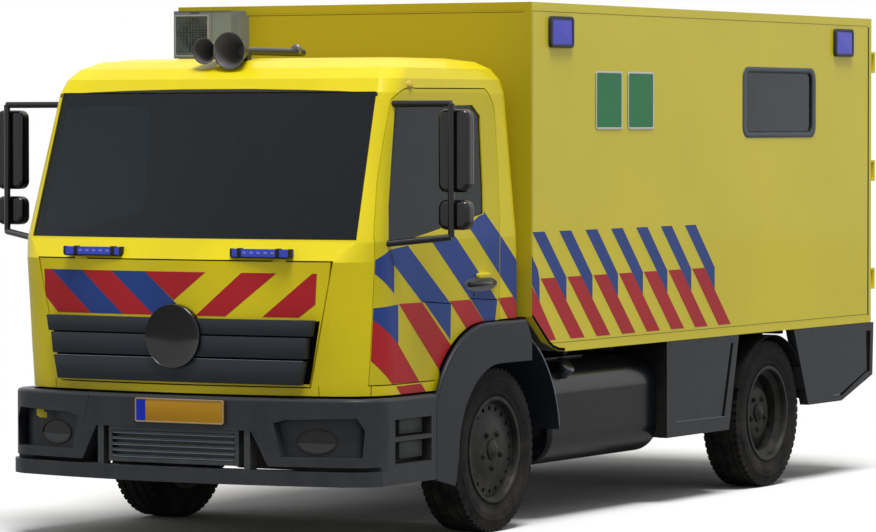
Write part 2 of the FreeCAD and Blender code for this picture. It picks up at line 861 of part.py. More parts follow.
def wheel_rim(centre_y, set_in, rise):
    """Steel rim, dished disc, hub, drum and wheel nuts."""
    outer = tyre_face_half - tyre_shoulder
    inner = tyre_face_half - tyre_width + tyre_shoulder
    seat = rim_seat_diameter / 2
    flange = rim_diameter / 2
    well = seat - rim_well_depth
    lip = 2 * rim_wall
    band = [
        (inner, seat), (inner - rim_wall, seat), (inner - rim_wall, flange), (inner - lip, flange),
        (inner - lip, seat - rim_wall), (inner + tyre_shoulder, seat - rim_wall),
        (inner + 2 * tyre_shoulder, well - rim_wall), (outer - 2 * tyre_shoulder, well - rim_wall),
        (outer - tyre_shoulder, seat - rim_wall), (outer + lip, seat - rim_wall), (outer + lip, flange),
        (outer + rim_wall, flange), (outer + rim_wall, seat), (outer, seat),
        (outer - tyre_shoulder, seat - rim_wall / 3), (outer - 2 * tyre_shoulder, well),
        (inner + 2 * tyre_shoulder, well), (inner + tyre_shoulder, seat - rim_wall / 3),
    ]
    face = tyre_face_half - set_in
    low = face - rise
    edge = seat - rim_wall / 2 if low > outer - 2 * tyre_shoulder else well - rim_wall
    disc = [
        (low, edge), (low - disc_wall, edge), (face - disc_wall, hub_face_radius),
        (face - disc_wall, hub_bore_radius), (face, hub_bore_radius), (face, hub_face_radius),
    ]
    hub_in = hub_inner_x()
    drum = hub_in + running_gap
    bore = spindle_radius + pin_clearance
    hub = [
        (hub_in, bore), (face - disc_wall, bore), (face - disc_wall, hub_radius),
        (drum + rim_wall, hub_radius), (drum + drum_width, drum_radius), (drum, drum_radius),
        (drum, hub_radius), (hub_in, hub_radius),
    ]
    pieces = [spun(band, 1, centre_y), spun(disc, 1, centre_y), spun(hub, 1, centre_y)]
    for index in range(wheel_nut_count):
        turn = math.radians(index * 360 / wheel_nut_count + 90)
        y = centre_y + wheel_nut_circle_radius * math.cos(turn)
        z = axle_z + wheel_nut_circle_radius * math.sin(turn)
        pieces.append(rod((face - disc_wall, y, z), (face + wheel_nut_height, y, z), wheel_nut_radius))
    return joined(pieces)


def front_mudguards():
    """Side plate with its arch, and the curved sheet over the tyre."""
    centre_z = guard_top_z - guard_curve_radius
    plate_in = guard_plate_x - guard_plate_wall
    lean = math.radians(guard_bend_deg)
    bend = (guard_curve_y - guard_curve_radius * math.sin(lean),
            centre_z + guard_curve_radius * math.cos(lean))
    side_z = centre_z + math.sqrt(guard_curve_radius ** 2 - (guard_front_y - guard_curve_y) ** 2)
    arch_bend = arch_radius * math.sqrt(0.5)
    outline = [
        (guard_front_y, guard_front_base_z), (guard_front_y, side_z), (bend, (guard_curve_y, guard_top_z)),
        (guard_rear_corner_y, guard_top_z), (guard_rear_y, guard_top_z - guard_rear_drop),
        (guard_rear_y, axle_z + arch_radius), (0, axle_z + arch_radius),
        ((-arch_bend, axle_z + arch_bend), (-arch_radius, axle_z)), (guard_lip_y, guard_arch_base_z),
    ]
    plate = along_x(outline, plate_in, guard_plate_x)
    rims = [edge for edge in plate.Edges
            if edge.BoundBox.XMin > guard_plate_x - edge_tolerance
            and edge.BoundBox.ZMax > axle_z + arch_radius + edge_tolerance]
    plate = plate.makeFillet(guard_plate_round, rims)
    ring = rod((guard_inner_x, 0, axle_z), (guard_plate_x, 0, axle_z), guard_radius + guard_sheet_wall)
    ring = ring.cut(rod((guard_inner_x - overrun, 0, axle_z), (guard_plate_x + overrun, 0, axle_z),
                        guard_radius))
    rear = 2 * guard_radius
    keep_zone = along_x([
        (guard_front_y, guard_sheet_front_z), (guard_front_y, guard_top_z + overrun),
        (rear, guard_top_z + overrun), (rear, guard_sheet_end_z), (0, guard_sheet_end_z),
        (0, guard_sheet_front_z)], guard_inner_x - overrun, guard_plate_x + overrun)
    bracket_y = math.sqrt(guard_radius ** 2 - (guard_bracket_z + guard_bracket_height - axle_z) ** 2)
    bracket = box((rail_half, bracket_y + guard_sheet_wall / 2, guard_bracket_z),
                  (guard_inner_x + overrun, bracket_y + guard_bracket_length,
                   guard_bracket_z + guard_bracket_height))
    return joined([plate, ring.common(keep_zone), bracket])


def bumper_ring(inset, low, high):
    """The bumper's plan, moved inwards, between two heights."""
    front = bumper_front_y + inset
    side = bumper_half - inset
    lean = inset * math.sqrt(0.5)
    rear = bumper_rear_y + (overrun if inset > bumper_plate_room else 0)
    corner = (bumper_corner_x - lean / 2, bumper_corner_y + inset)
    turn = (bumper_turn_x - lean, bumper_turn_y + lean)
    points = [
        (side, rear), (side, bumper_side_y), (turn, corner), ((0, front), (-corner[0], corner[1])),
        ((-turn[0], turn[1]), (-side, bumper_side_y)), (-side, rear),
    ]
    return along_z(points, low, high)


def bumper():
    """Upper band, recessed lamp bays, lower bar and the steps in each end."""
    shell = bumper_ring(0, bumper_base_z, bumper_top_z)
    rims = [edge for edge in shell.Edges
            if edge.BoundBox.ZMin > bumper_top_z - edge_tolerance
            and edge.BoundBox.YMin < bumper_rear_y - edge_tolerance]
    shell = shell.makeFillet(bumper_top_round, rims)
    hollow = bumper_ring(bumper_wall, bumper_base_z - overrun, bumper_top_z + overrun)
    bar = bumper_ring(-bumper_plate_room, bumper_base_z, bumper_slit_base_z).common(
        box((-bumper_half, -2 * front_overhang, 0), (bumper_half, bumper_side_y, bumper_top_z)))
    shell = joined([shell, bar]).cut(hollow)
    far = 2 * bumper_half
    front = -2 * front_overhang
    slit_top = bumper_slit_base_z + bumper_slit_height
    cuts = [box((-far, front, bumper_slit_base_z), (far, bumper_slit_end_y, slit_top))]
    mouth = [
        (-bumper_mouth_base_half, bumper_slit_base_z), (bumper_mouth_base_half, bumper_slit_base_z),
        (bumper_mouth_base_half, slit_top), (bumper_mouth_top_half, bumper_mouth_top_z),
        (-bumper_mouth_top_half, bumper_mouth_top_z), (-bumper_mouth_base_half, slit_top),
    ]
    cuts.append(along_y(mouth, front, 0))
    bay_width = lamp_bay_outer_x - lamp_bay_inner_x
    bay_height = lamp_bay_top_z - lamp_bay_base_z
    bay = along_y([(lamp_bay_inner_x + x * bay_width, lamp_bay_base_z + z * bay_height)
                   for x, z in lamp_bay_shares], front, 0)
    bay = bay.cut(bumper_ring(lamp_bay_depth, 0, bumper_top_z))
    cuts += both_sides(bay)
    low_step = box((0, step_front_y, step_low_base_z), (far, step_rear_y, step_low_top_z))
    high_step = box((0, step_front_y, step_high_base_z), (far, step_rear_y, step_high_top_z))
    cuts += both_sides(low_step) + both_sides(high_step)
    cuts += both_sides(lamp_oval(bumper_front_y, -bumper_front_y, 0))
    shell = shell.cut(cuts)
    arm_y = bumper_front_y + bumper_wall / 2
    arms = box((rail_half - rail_flange, arm_y, bumper_arm_base_z),
               (rail_half, frame_front_y, bumper_arm_base_z + bumper_arm_height))
    return joined([shell] + both_sides(arms))


def lamp_oval(front, wall, grow):
    """Oval bar through the lamp bay's back wall."""
    middle = Vector(lamp_centre_x, front, lamp_centre_z)
    across = middle + ACROSS * (lamp_half_width + grow)
    high = middle + UP * (lamp_half_height + grow)
    ring = Part.Wire(Part.Ellipse(across, high, middle).toShape())
    return Part.Face(ring).extrude(BACK * wall)


def bumper_lamps():
    """Oval lamps seated in the back walls of the lamp bays."""
    oval = lamp_oval(bumper_front_y, bumper_wall * 4, -seat_gap)
    return both_sides(oval.common(bumper_ring(lamp_bay_depth, 0, bumper_top_z)).cut(
        bumper_ring(bumper_wall + lamp_depth / 2, 0, bumper_top_z)))


def radiator_pack():
    """Framed core with cross ribs in the bumper's mouth, and a post on each side."""
    rear = radiator_front_y + radiator_depth
    top = bumper_mouth_top_z - seat_gap
    core = box((-radiator_half, radiator_front_y + radiator_depth / 2, radiator_base_z),
               (radiator_half, rear, top))
    inner_half = radiator_half - radiator_frame
    ring = box((-radiator_half, radiator_front_y, radiator_base_z), (radiator_half, rear, top)).cut(
        box((-inner_half, radiator_front_y - overrun, radiator_base_z + radiator_frame),
            (inner_half, rear + overrun, top - radiator_frame)))
    pieces = [core, ring]
    pitch = (top - radiator_base_z) / radiator_rib_count
    for index in range(1, radiator_rib_count):
        z = radiator_base_z + index * pitch
        pieces.append(box((-inner_half, radiator_front_y, z - pitch * radiator_rib_share / 2),
                          (inner_half, rear, z + pitch * radiator_rib_share / 2)))
    post_in = radiator_half + radiator_post_gap
    post = box((post_in, radiator_front_y, bumper_slit_base_z + seat_gap),
               (post_in + radiator_post_width, rear, top))
    arm = box((radiator_half - overrun, rear - radiator_frame, top - radiator_arm_height),
              (post_in + radiator_post_width, rear, top))
    pieces += both_sides(post) + both_sides(arm)
    return joined(pieces)


def fuel_tank():
    """Tank with rounded corners, filler neck and two brackets to the rail."""
    rear = tank_front_y + tank_length
    cut = tank_corner
    bend = cut * (1 - math.sqrt(0.5))
    section = [
        (tank_inner_x, tank_base_z), (tank_outer_x - cut, tank_base_z),
        ((tank_outer_x - bend, tank_base_z + bend), (tank_outer_x, tank_base_z + cut)),
        (tank_outer_x, tank_top_z - cut),
        ((tank_outer_x - bend, tank_top_z - bend), (tank_outer_x - cut, tank_top_z)),
        (tank_inner_x, tank_top_z),
    ]
    body = along_y(section, tank_front_y, rear)
    ends = [edge for edge in body.Edges
            if edge.BoundBox.YLength < edge_tolerance
            and edge.BoundBox.XMax > tank_inner_x + edge_tolerance]
    body = body.makeFillet(tank_end_round, ends)
    neck_y = tank_front_y + tank_neck_inset
    neck_x = tank_outer_x - bend
    neck_z = tank_top_z - bend
    lean = tank_neck_height * math.sqrt(0.5)
    neck = rod((neck_x - lean, neck_y, neck_z - lean), (neck_x + lean, neck_y, neck_z + lean),
               tank_neck_radius)
    pieces = [body, neck]
    for share in tank_bracket_shares:
        y = tank_front_y + share * tank_length
        pieces.append(box((rail_half, y - tank_bracket_width / 2, rail_base_z),
                          (tank_inner_x + overrun, y + tank_bracket_width / 2, rail_top_z)))
    return joined(pieces)


def silencer():
    """Round silencer, its pipe from the engine and its brackets to the rail."""
    rear = silencer_front_y + silencer_length
    pipe_x = silencer_pipe_inset - engine_half
    pipe_y = silencer_front_y - silencer_pipe_bend
    radius = silencer_pipe_radius
    route = [
        (silencer_x, silencer_front_y, silencer_z), (silencer_x, pipe_y, silencer_z),
        (pipe_x, pipe_y, silencer_z), (pipe_x, engine_front_y + engine_length, silencer_z),
    ]
    pieces = [rod((silencer_x, silencer_front_y, silencer_z), (silencer_x, rear, silencer_z),
                  silencer_radius)]
    pieces += [rod(start, end, radius) for start, end in zip(route, route[1:])]
    pieces += [Part.makeSphere(radius, Vector(*corner)) for corner in route[1:3]]
    for share in tank_bracket_shares:
        y = silencer_front_y + share * silencer_length
        pieces.append(box((silencer_x, y - tank_bracket_width / 2, rail_base_z),
                          (-rail_half, y + tank_bracket_width / 2, rail_base_z + silencer_bracket_wall)))
    return joined(pieces)


def mid_skirt_outline():
    rear = wheelbase - skirt_mid_axle_gap
    front = rear - skirt_mid_length
    base_rear = front + skirt_mid_base_share * skirt_mid_length
    return [
        (front, skirt_mid_base_z), (base_rear, skirt_mid_base_z), (rear, skirt_top_z), (front, skirt_top_z),
    ]


def rear_skirt_outline():
    front = wheelbase + skirt_rear_axle_gap
    length = box_rear_y - front
    depth = skirt_top_z - skirt_rear_base_z
    front_share, middle_share, rear_share = skirt_rear_base_shares
    return [
        (front, skirt_top_z),
        (front + front_share * length, skirt_rear_base_z),
        (front + middle_share * length, skirt_rear_base_z),
        (front + rear_share * length, skirt_rear_base_z + skirt_rear_step_share * depth),
        (box_rear_y, skirt_top_z),
    ]


def side_skirts():
    """Four panels under the box, each on two arms from the rails."""
    skirts = []
    inner = box_half - skirt_wall
    for outline, places in (
            (mid_skirt_outline(), skirt_mid_arm_shares),
            (rear_skirt_outline(), skirt_rear_arm_shares)):
        panel = along_x(outline, inner, box_half)
        low_y = min(point[0] for point in outline)
        length = max(point[0] for point in outline) - low_y
        arms = [box((rail_half, low_y + share * length, rail_base_z + skirt_arm_height),
                    (inner, low_y + share * length + skirt_arm_width, rail_base_z + 2 * skirt_arm_height))
                for share in places]
        skirts += both_sides(joined([panel] + arms))
    return skirts


def box_side_outline():
    """Side wall with the cut lower front corner."""
    rear = box_rear_y - box_frame_depth - box_door_wall - running_gap
    cut_y = box_front_y + box_cut_mid_y_share * box_length
    cut_z = box_base_z + box_cut_mid_z_share * (box_cut_high_z - box_base_z)
    end_y = box_front_y + box_cut_length
    return [
        (box_front_y, box_cut_high_z), (cut_y, cut_z), (end_y, box_base_z),
        (rear, box_base_z), (rear, box_top_z), (box_front_y, box_top_z),
    ]


def window_hole(grow):
    top = box_top_z - window_top_gap
    return rounded((window_front_y - grow, top - window_height - grow),
                   (window_front_y + window_length + grow, top + grow),
                   window_corner + grow)


def box_side():
    wall = along_x(box_side_outline(), box_half - box_wall, box_half)
    hole = along_x(window_hole(0), box_half - box_wall - overrun, box_half + overrun)
    return wall.cut(hole)


def box_windows():
    outer = box_half - window_glass_inset
    pane = along_x(window_hole(-seat_gap), outer - window_glass_wall, outer)
    return both_sides(pane)


def box_front():
    """Front wall between the side walls, above the cut corner."""
    half = box_half - box_wall
    return box((-half, box_front_y, box_cut_high_z),
               (half, box_front_y + box_wall, box_top_z - box_roof_wall))


def box_roof():
    half = box_half - box_wall
    rear = box_side_outline()[3][0]
    return box((-half, box_front_y, box_top_z - box_roof_wall), (half, rear, box_top_z))


def box_floor():
    """Floor with its slanted front end and the bearers that rest on the rails."""
    half = box_half - box_wall
    corner, middle, end, rear = box_side_outline()[:4]
    up = box_floor_wall
    profile = [
        corner, middle, end, rear, (rear[0], rear[1] + up), (end[0] + up / 2, end[1] + up),
        (middle[0] + up / 2, middle[1] + up), (corner[0] + box_wall, corner[1]),
    ]
    pieces = [along_x(profile, -half, half)]
    pieces += both_sides(box((rail_half - rail_flange, end[0], rail_top_z),
                             (rail_half, rear[0], box_base_z - bearer_height / 2)))
    length = rear[0] - end[0] - bearer_width
    for index in range(bearer_count):
        y = end[0] + length * index / (bearer_count - 1)
        pieces.append(box((-bearer_half, y, box_base_z - bearer_height),
                          (bearer_half, y + bearer_width, box_base_z)))
    return joined(pieces)


def box_rear_frame():
    """Rear portal that the doors close on."""
    rear = box_rear_y - box_door_wall - running_gap
    front = rear - box_frame_depth
    portal = box((-box_half, front, box_base_z), (box_half, rear, box_top_z))
    hole = box((box_frame_post - box_half, front - overrun, box_base_z + box_frame_sill),
               (box_half - box_frame_post, rear + overrun, box_top_z - box_frame_head))
    pieces = [portal.cut(hole)]
    axis_x, axis_y = rear_hinge_axis()
    for z in rear_hinge_heights():
        pieces.append(rod((axis_x, axis_y, z - hinge_height / 2 - hinge_ear_height),
                          (axis_x, axis_y, z + hinge_height / 2 + hinge_ear_height), hinge_pin_radius))
        for base in (z - hinge_height / 2 - hinge_ear_height, z + hinge_height / 2 + seat_gap):
            top = base + hinge_ear_height - seat_gap
            pieces.append(rod((axis_x, axis_y, base), (axis_x, axis_y, top), hinge_radius))
            pieces.append(box((axis_x - hinge_radius, rear - overrun, base),
                              (box_half, axis_y, top)))
    ears = pieces[1:]
    return joined([pieces[0]] + ears + [other_side(ear) for ear in ears])


def rear_hinge_axis():
    return box_half - hinge_x_inset, box_rear_y + hinge_radius


def rear_hinge_heights():
    low, high = rear_door_heights()
    return [low + share * (high - low) for share in hinge_place_shares]


def rear_door_heights():
    return box_base_z + 2 * running_gap, box_top_z - 2 * running_gap


def rear_door():
    """Left door panel with its window hole and bored hinge barrels."""
    axis_x, axis_y = rear_hinge_axis()
    outer = axis_x - hinge_radius - running_gap
    low, high = rear_door_heights()
    panel = box((running_gap, box_rear_y - box_door_wall, low), (outer, box_rear_y, high))
    hole = along_y(rear_window_hole(0), box_rear_y - box_door_wall - overrun, box_rear_y + overrun)
    pieces = [panel.cut(hole)]
    bores = []
    for z in rear_hinge_heights():
        base = z - hinge_height / 2
        top = z + hinge_height / 2
        pieces.append(rod((axis_x, axis_y, base), (axis_x, axis_y, top), hinge_radius))
        pieces.append(box((outer - 3 * hinge_radius, box_rear_y, base),
                          (axis_x, box_rear_y + hinge_radius, top)))
        bores.append(rod((axis_x, axis_y, base - overrun), (axis_x, axis_y, top + overrun),
                         hinge_pin_radius + pin_clearance))
    return joined(pieces).cut(bores)


def rear_window_hole(grow):
    middle = box_half / 2
    top = box_top_z - rear_window_top_gap
    return rounded((middle - rear_window_width / 2 - grow, top - rear_window_height - grow),
                   (middle + rear_window_width / 2 + grow, top + grow),
                   rear_window_corner + grow)


def rear_glass():
    outer = box_rear_y - window_glass_inset
    return along_y(rear_window_hole(-seat_gap), outer - window_glass_wall, outer)


def blue_lamps():
    """Corner lamps high on the box sides and the two light bars under the windscreen."""
    lamps = []
    top = box_top_z - side_lamp_top_gap
    for start in (side_lamp_front_y, side_lamp_rear_y):
        outline = rounded((start, top - side_lamp_height), (start + side_lamp_length, top), side_lamp_corner)
        lamps += both_sides(along_x(outline, box_half, box_half + side_lamp_wall))
    return lamps


def light_bars():
    bar = box((light_bar_inner_x, light_bar_y - light_bar_depth / 2, light_bar_z - light_bar_height / 2),
              (light_bar_outer_x, light_bar_y + light_bar_depth, light_bar_z + light_bar_height / 2))
    return both_sides(bar.cut(cab_form(0)))


def rear_lamps():
    """Lamp clusters on the guard bar's upper edge."""
    front = frame_rear_y - guard_bar_depth
    low = guard_bar_z + guard_bar_height
    return both_sides(box((rear_lamp_x, front, low),
                          (rear_lamp_x + rear_lamp_width, front + rear_lamp_wall, low + rear_lamp_height)))


def cooling_unit():
    """Cooling unit's case with the stepped cover and a round pocket for its fan."""
    front = box_front_y - cooler_depth
    low = cab_top_z + cooler_roof_gap
    high = box_top_z - cooler_top_gap
    case = box((cooler_outer_x, front, low), (cooler_inner_x - cooler_step_width, box_front_y, high))
    step = box((cooler_inner_x - cooler_step_width, front + cooler_step, low + cooler_step / 2),
               (cooler_inner_x, box_front_y, high - cooler_step / 2))
    middle = (low + high) / 2
    pocket = rod((cooler_fan_x, front - overrun, middle), (cooler_fan_x, front + cooler_fan_pocket, middle),
                 cooler_fan_radius)
    shaft = rod((cooler_fan_x, front + fan_set_in + fan_width, middle),
                (cooler_fan_x, front + cooler_fan_pocket + overrun, middle), fan_shaft_radius)
    return joined([joined([case, step]).cut(pocket), shaft])


def cooling_fan():
    """Fan with twisted blades on a round hub."""
    front = box_front_y - cooler_depth + fan_set_in
    middle = (cab_top_z + cooler_roof_gap + box_top_z - cooler_top_gap) / 2
    hub = rod((cooler_fan_x, front, middle),
              (cooler_fan_x, front + fan_width - seat_gap, middle), fan_hub_radius)
    pieces = [hub]
    centre = Vector(cooler_fan_x, front + fan_width / 2, middle)
    for index in range(fan_blade_count):
        blade = box((-fan_blade_wall / 2, -fan_width / 2 / math.cos(math.radians(fan_twist_deg)) / 2, 0),
                    (fan_blade_wall / 2, fan_width / 4, fan_radius))
        blade.rotate(Vector(0, 0, 0), UP, fan_twist_deg)
        blade.rotate(Vector(0, 0, 0), BACK, index * 360 / fan_blade_count)
        blade.translate(centre)
        pieces.append(blade)
    return joined(pieces)


def cab_windscreen_outline(grow):
    half_base = windscreen_base_half + grow
    half_top = windscreen_top_half + grow
    return [
        (-half_base, windscreen_base_z - grow), (half_base, windscreen_base_z - grow),
        (half_top, windscreen_top_z + grow), (-half_top, windscreen_top_z + grow),
    ]


def flap_opening():
    """The front flap's opening in X and Z."""
    top = flap_top_half + flap_gap
    low = flap_base_half + flap_gap
    return [(-low, flap_base_z - flap_gap), (low, flap_base_z - flap_gap), (top, flap_top_z + flap_gap),
            (-top, flap_top_z + flap_gap)]


def flap_outline(inset):
    """The front flap's edge in X and Z, with its upper corners drawn in so that it can swing."""
    top = flap_top_half - inset
    low = flap_base_half - inset
    bend = top - (flap_top_half - flap_base_half) * flap_corner_drop / (flap_top_z - flap_base_z)
    base = flap_base_z + inset
    high = flap_top_z - inset
    return [(-low, base), (low, base), (bend, high - flap_corner_drop), (top - flap_corner_cut, high),
            (flap_corner_cut - top, high), (-bend, high - flap_corner_drop)]


def door_panel(outline, outer, inner):
    """Part of the cab's wall inside an outline, between two insets, on the left."""
    prism = along_x(outline, cab_door_inner_x, 2 * cab_half)
    return prism.common(cab_form(outer)).cut(cab_form(inner))


def cab_shell():
    """Welded cab: walls, roof, floor, firewall and step wells, with every opening cut."""
    body = cab_form(0)
    far = 2 * cab_half
    under = box((-far, cab_tail_y, 0), (far, 2 * cab_length, cab_floor_z))
    tunnel_half = rail_half + cab_tunnel_side_gap
    tunnel = box((-tunnel_half, frame_front_y - running_gap, 0), (tunnel_half, 2 * cab_length, cab_floor_z))
    inside = cab_form(cab_wall)
    floor_top = cab_floor_z + cab_floor_wall
    below_floor = box((-far, -2 * front_overhang, 0), (far, 2 * cab_length, floor_top))
    below_cowl = box((-far, -2 * front_overhang, 0), (far, cab_firewall_y, cab_cowl_z))
    cabin = inside.cut(below_floor.fuse(below_cowl))
    bay = inside.common(box((-cab_bay_half, -2 * front_overhang, cab_bay_base_z),
                            (cab_bay_half, cab_firewall_y - cab_wall, cab_cowl_z - cab_wall)))
    steps = both_sides(box((cab_step_inner_x, cab_step_front_y, cab_bay_base_z + cab_wall / 2),
                           (cab_half - cab_door_wall - door_gap, cab_step_rear_y, floor_top + overrun)))
    front = along_y(cab_windscreen_outline(0), -2 * front_overhang, cab_firewall_y + cab_length / 2)
    flap = along_y(flap_opening(), -2 * front_overhang, cab_firewall_y - cab_wall)
    doors = both_sides(along_x(door_outline(door_gap), cab_door_inner_x - door_gap, far).cut(
        cab_form(cab_door_wall + door_gap)))
    edge_y = cab_point((door_front_share, 0))[0]
    swing = rod((cab_door_axis_x, edge_y - cab_door_axis_gap, cab_point((0, door_base_share))[1] - door_gap),
                (cab_door_axis_x, edge_y - cab_door_axis_gap, cab_cowl_z + 2 * overrun),
                cab_door_axis_x - cab_door_inner_x + 2 * door_gap)
    swings = both_sides(swing.common(box((0, edge_y - door_gap, 0), (far, cab_rear_y, cab_top_z))))
    for opening in [under, tunnel, cabin, bay, front, flap] + steps + doors + swings:
        body = body.cut(opening)
    return joined([body] + cab_hinge_plates())


def cab_hinge_plates():
    """Hinge leaves that stand in the gaps ahead of the doors and above the flap."""
    edge_y = cab_point((door_front_share, 0))[0]
    plates = []
    for share in cab_hinge_height_shares:
        z = cab_base_z + share * cab_height
        plates += both_sides(box(
            (cab_hinge_inner_x, edge_y - 2 * door_gap, z),
            (cab_hinge_inner_x + cab_hinge_width, edge_y - seat_gap, z + cab_hinge_height)))
    flap_y = cab_front_y + flap_hinge_set_in
    plates += both_sides(box(
        (flap_hinge_x, flap_y, flap_top_z + seat_gap),
        (flap_hinge_x + flap_hinge_width, flap_y + flap_wall / 2, flap_top_z + 2 * flap_gap)))
    return plates


def windscreen():
    pane = along_y(cab_windscreen_outline(-seat_gap), -2 * front_overhang, cab_firewall_y + cab_length / 2)
    return pane.common(cab_form(cab_glass_inset)).cut(cab_form(cab_glass_inset + cab_glass_wall))


def front_flap():
    """Hinged front panel: its skin and the narrower pan behind it."""
    skin = along_y(flap_outline(0), -2 * front_overhang, cab_firewall_y)
    pan = along_y(flap_outline(flap_pan_inset), -2 * front_overhang, cab_firewall_y)
    middle = cab_form(flap_skin_wall)
    return joined([skin.common(cab_form(0)).cut(middle), pan.common(middle).cut(cab_form(flap_wall))])


def grille():
    """Three slats across the flap and the bare round dish in their middle."""
    height = (grille_top_z - grille_base_z - (grille_slat_count - 1) * grille_slat_gap) / grille_slat_count
    taper = (grille_top_half - grille_base_half) / (grille_top_z - grille_base_z)
    slats = []
    for index in range(grille_slat_count):
        low = grille_base_z + index * (height + grille_slat_gap)
        high = low + height
        low_half = grille_base_half + taper * (low - grille_base_z)
        high_half = grille_base_half + taper * (high - grille_base_z)
        outline = [(-low_half, low), (low_half, low), (high_half, high), (-high_half, high)]
        bar = along_y(outline, -2 * front_overhang, cab_firewall_y)
        slats.append(bar.common(cab_form(-grille_proud)).cut(cab_form(0)))
    dish_y = cab_front_y - grille_proud - dish_proud
    dish = rod((0, dish_y, dish_z), (0, dish_y + dish_wall + grille_proud + dish_proud, dish_z), dish_radius)
    dish = dish.cut(cab_form(0))
    return joined(slats + [dish])


def cab_door():
    """Left door: outer skin and frame round the window, with its handle."""
    panel = door_panel(door_outline(0), 0, cab_door_wall)
    hole = along_x(cab_points(door_window_shares), cab_step_inner_x - overrun, 2 * cab_half)
    return panel.cut(hole)


def door_glass():
    points = cab_points(door_window_shares)
    return door_panel(points, cab_glass_inset, cab_glass_inset + cab_glass_wall)


def mirror():
    """Loop of tube from the door with a large and a small mirror head."""
    radius = mirror_tube_radius
    top = (mirror_x, mirror_y, mirror_top_z)
    low = (mirror_x, mirror_y, mirror_base_z)
    root_top = (cab_half - 2 * cab_door_wall, mirror_top_arm_y, mirror_top_z)
    root_low = (cab_half - cab_door_wall / 2, mirror_low_arm_y, mirror_base_z - mirror_low_drop)
    pieces = [rod(top, low, radius), rod(root_top, top, radius), rod(root_low, low, radius)]
    for base, head in ((mirror_main_base_z, mirror_main_top_z), (mirror_small_base_z, mirror_small_top_z)):
        outline = rounded((mirror_x - mirror_head_width / 2, base), (mirror_x + mirror_head_width / 2, head),
                          mirror_head_corner)
        shell = along_y(outline, mirror_head_y - mirror_head_wall / 2, mirror_head_y + mirror_head_wall / 2)
        rims = [edge for edge in shell.Edges if edge.BoundBox.YLength < edge_tolerance]
        pieces.append(shell.makeFillet(mirror_head_round, rims))
        middle = (base + head) / 2
        pieces.append(rod((mirror_x, mirror_y, middle), (mirror_x, mirror_head_y, middle),
                          mirror_stub_radius))
    return joined(pieces).cut(cab_form(0))


def horns():
    """Two air horns and their pipe on the cab roof."""
    pieces = []
    hollows = []
    for x, radius in ((horn_big_x, horn_big_radius), (horn_small_x, horn_small_radius)):
        pieces.append(cone((x, horn_mouth_y, horn_z), (x, horn_mouth_y + horn_length, horn_z),
                           radius, horn_pipe_radius))
        end = radius + (horn_pipe_radius - radius) * horn_hollow_share
        hollows.append(cone((x, horn_mouth_y, horn_z),
                            (x, horn_mouth_y + horn_length * horn_hollow_share, horn_z),
                            radius - horn_wall, end - horn_wall))
        foot_y = horn_mouth_y + horn_length
        half_foot = horn_foot_width / 2
        pieces.append(box((x - half_foot, foot_y - half_foot, cab_top_z - horn_foot_reach),
                          (x + half_foot, foot_y + half_foot, horn_z)))
    pieces.append(rod((horn_big_x, horn_mouth_y + horn_length, horn_z),
                      (horn_big_x, horn_pipe_rear_y, horn_z), horn_pipe_radius))
    pieces.append(rod((horn_big_x, horn_mouth_y + horn_length, horn_z),
                      (horn_small_x, horn_mouth_y + horn_length, horn_z), horn_pipe_radius))
    return joined(pieces).cut([cab_form(0)] + hollows)


def dashboard():
    """Dashboard across the cab, with the steering column."""
    inner = cab_form(cab_wall + dash_side_gap)
    slab = along_x([
        (cab_firewall_y, dash_base_z), (dash_rear_y, dash_base_z),
        (dash_rear_y + overrun, dash_top_z - overrun),
        (dash_rear_y, dash_top_z), (cab_firewall_y, dash_top_z)], -cab_half, cab_half)
    head = Vector(*column_top())
    foot = head - wheel_normal() * wheel_column_length
    column = rod(tuple(foot), tuple(head), wheel_column_radius)
    return joined([slab.common(inner), column])


def wheel_normal():
    lean = math.radians(wheel_lean_deg)
    return Vector(0, math.sin(lean), math.cos(lean))


def column_top():
    below = Vector(wheel_centre_x, wheel_centre_y, wheel_centre_z) - wheel_normal() * (
        wheel_hub_wall / 2 + seat_gap)
    return (below.x, below.y, below.z)


def steering_wheel():
    """Rim ring, hub and three spokes."""
    centre = Vector(wheel_centre_x, wheel_centre_y, wheel_centre_z)
    axis = wheel_normal()
    ring = Part.makeTorus(wheel_rim_radius, wheel_tube_radius, centre, axis)
    hub = Part.makeCylinder(wheel_hub_radius, wheel_hub_wall, centre - axis * (wheel_hub_wall / 2), axis)
    pieces = [ring, hub]
    side = ACROSS
    down = axis.cross(side)
    for turn in (0, 180, 270):
        angle = math.radians(turn)
        tip = centre + (side * math.cos(angle) + down * math.sin(angle)) * wheel_rim_radius
        pieces.append(rod(tuple(centre), tuple(tip), wheel_tube_radius * 2 / 3))
    return joined(pieces)


def seats():
    """Two seats: base, cushion, backrest and headrest."""
    floor_top = cab_floor_z + cab_floor_wall
    seat_rear = seat_front_y + seat_depth
    half = seat_width / 2
    base = box((seat_x - seat_base_half, seat_front_y + overrun, floor_top),
               (seat_x + seat_base_half, seat_rear - overrun, seat_cushion_z))
    cushion = box((seat_x - half, seat_front_y, seat_cushion_z),
                  (seat_x + half, seat_rear, seat_cushion_z + seat_cushion_height))
    back = box((seat_x - half, seat_rear, seat_cushion_z),
               (seat_x + half, seat_rear + seat_back_wall, seat_cushion_z + seat_back_height))
    head = box((seat_x - seat_head_width / 2, seat_rear + overrun / 2, seat_cushion_z + seat_back_height),
               (seat_x + seat_head_width / 2, seat_rear + seat_back_wall,
                seat_cushion_z + seat_back_height + seat_head_height))
    return both_sides(joined([base, cushion, back, head]))


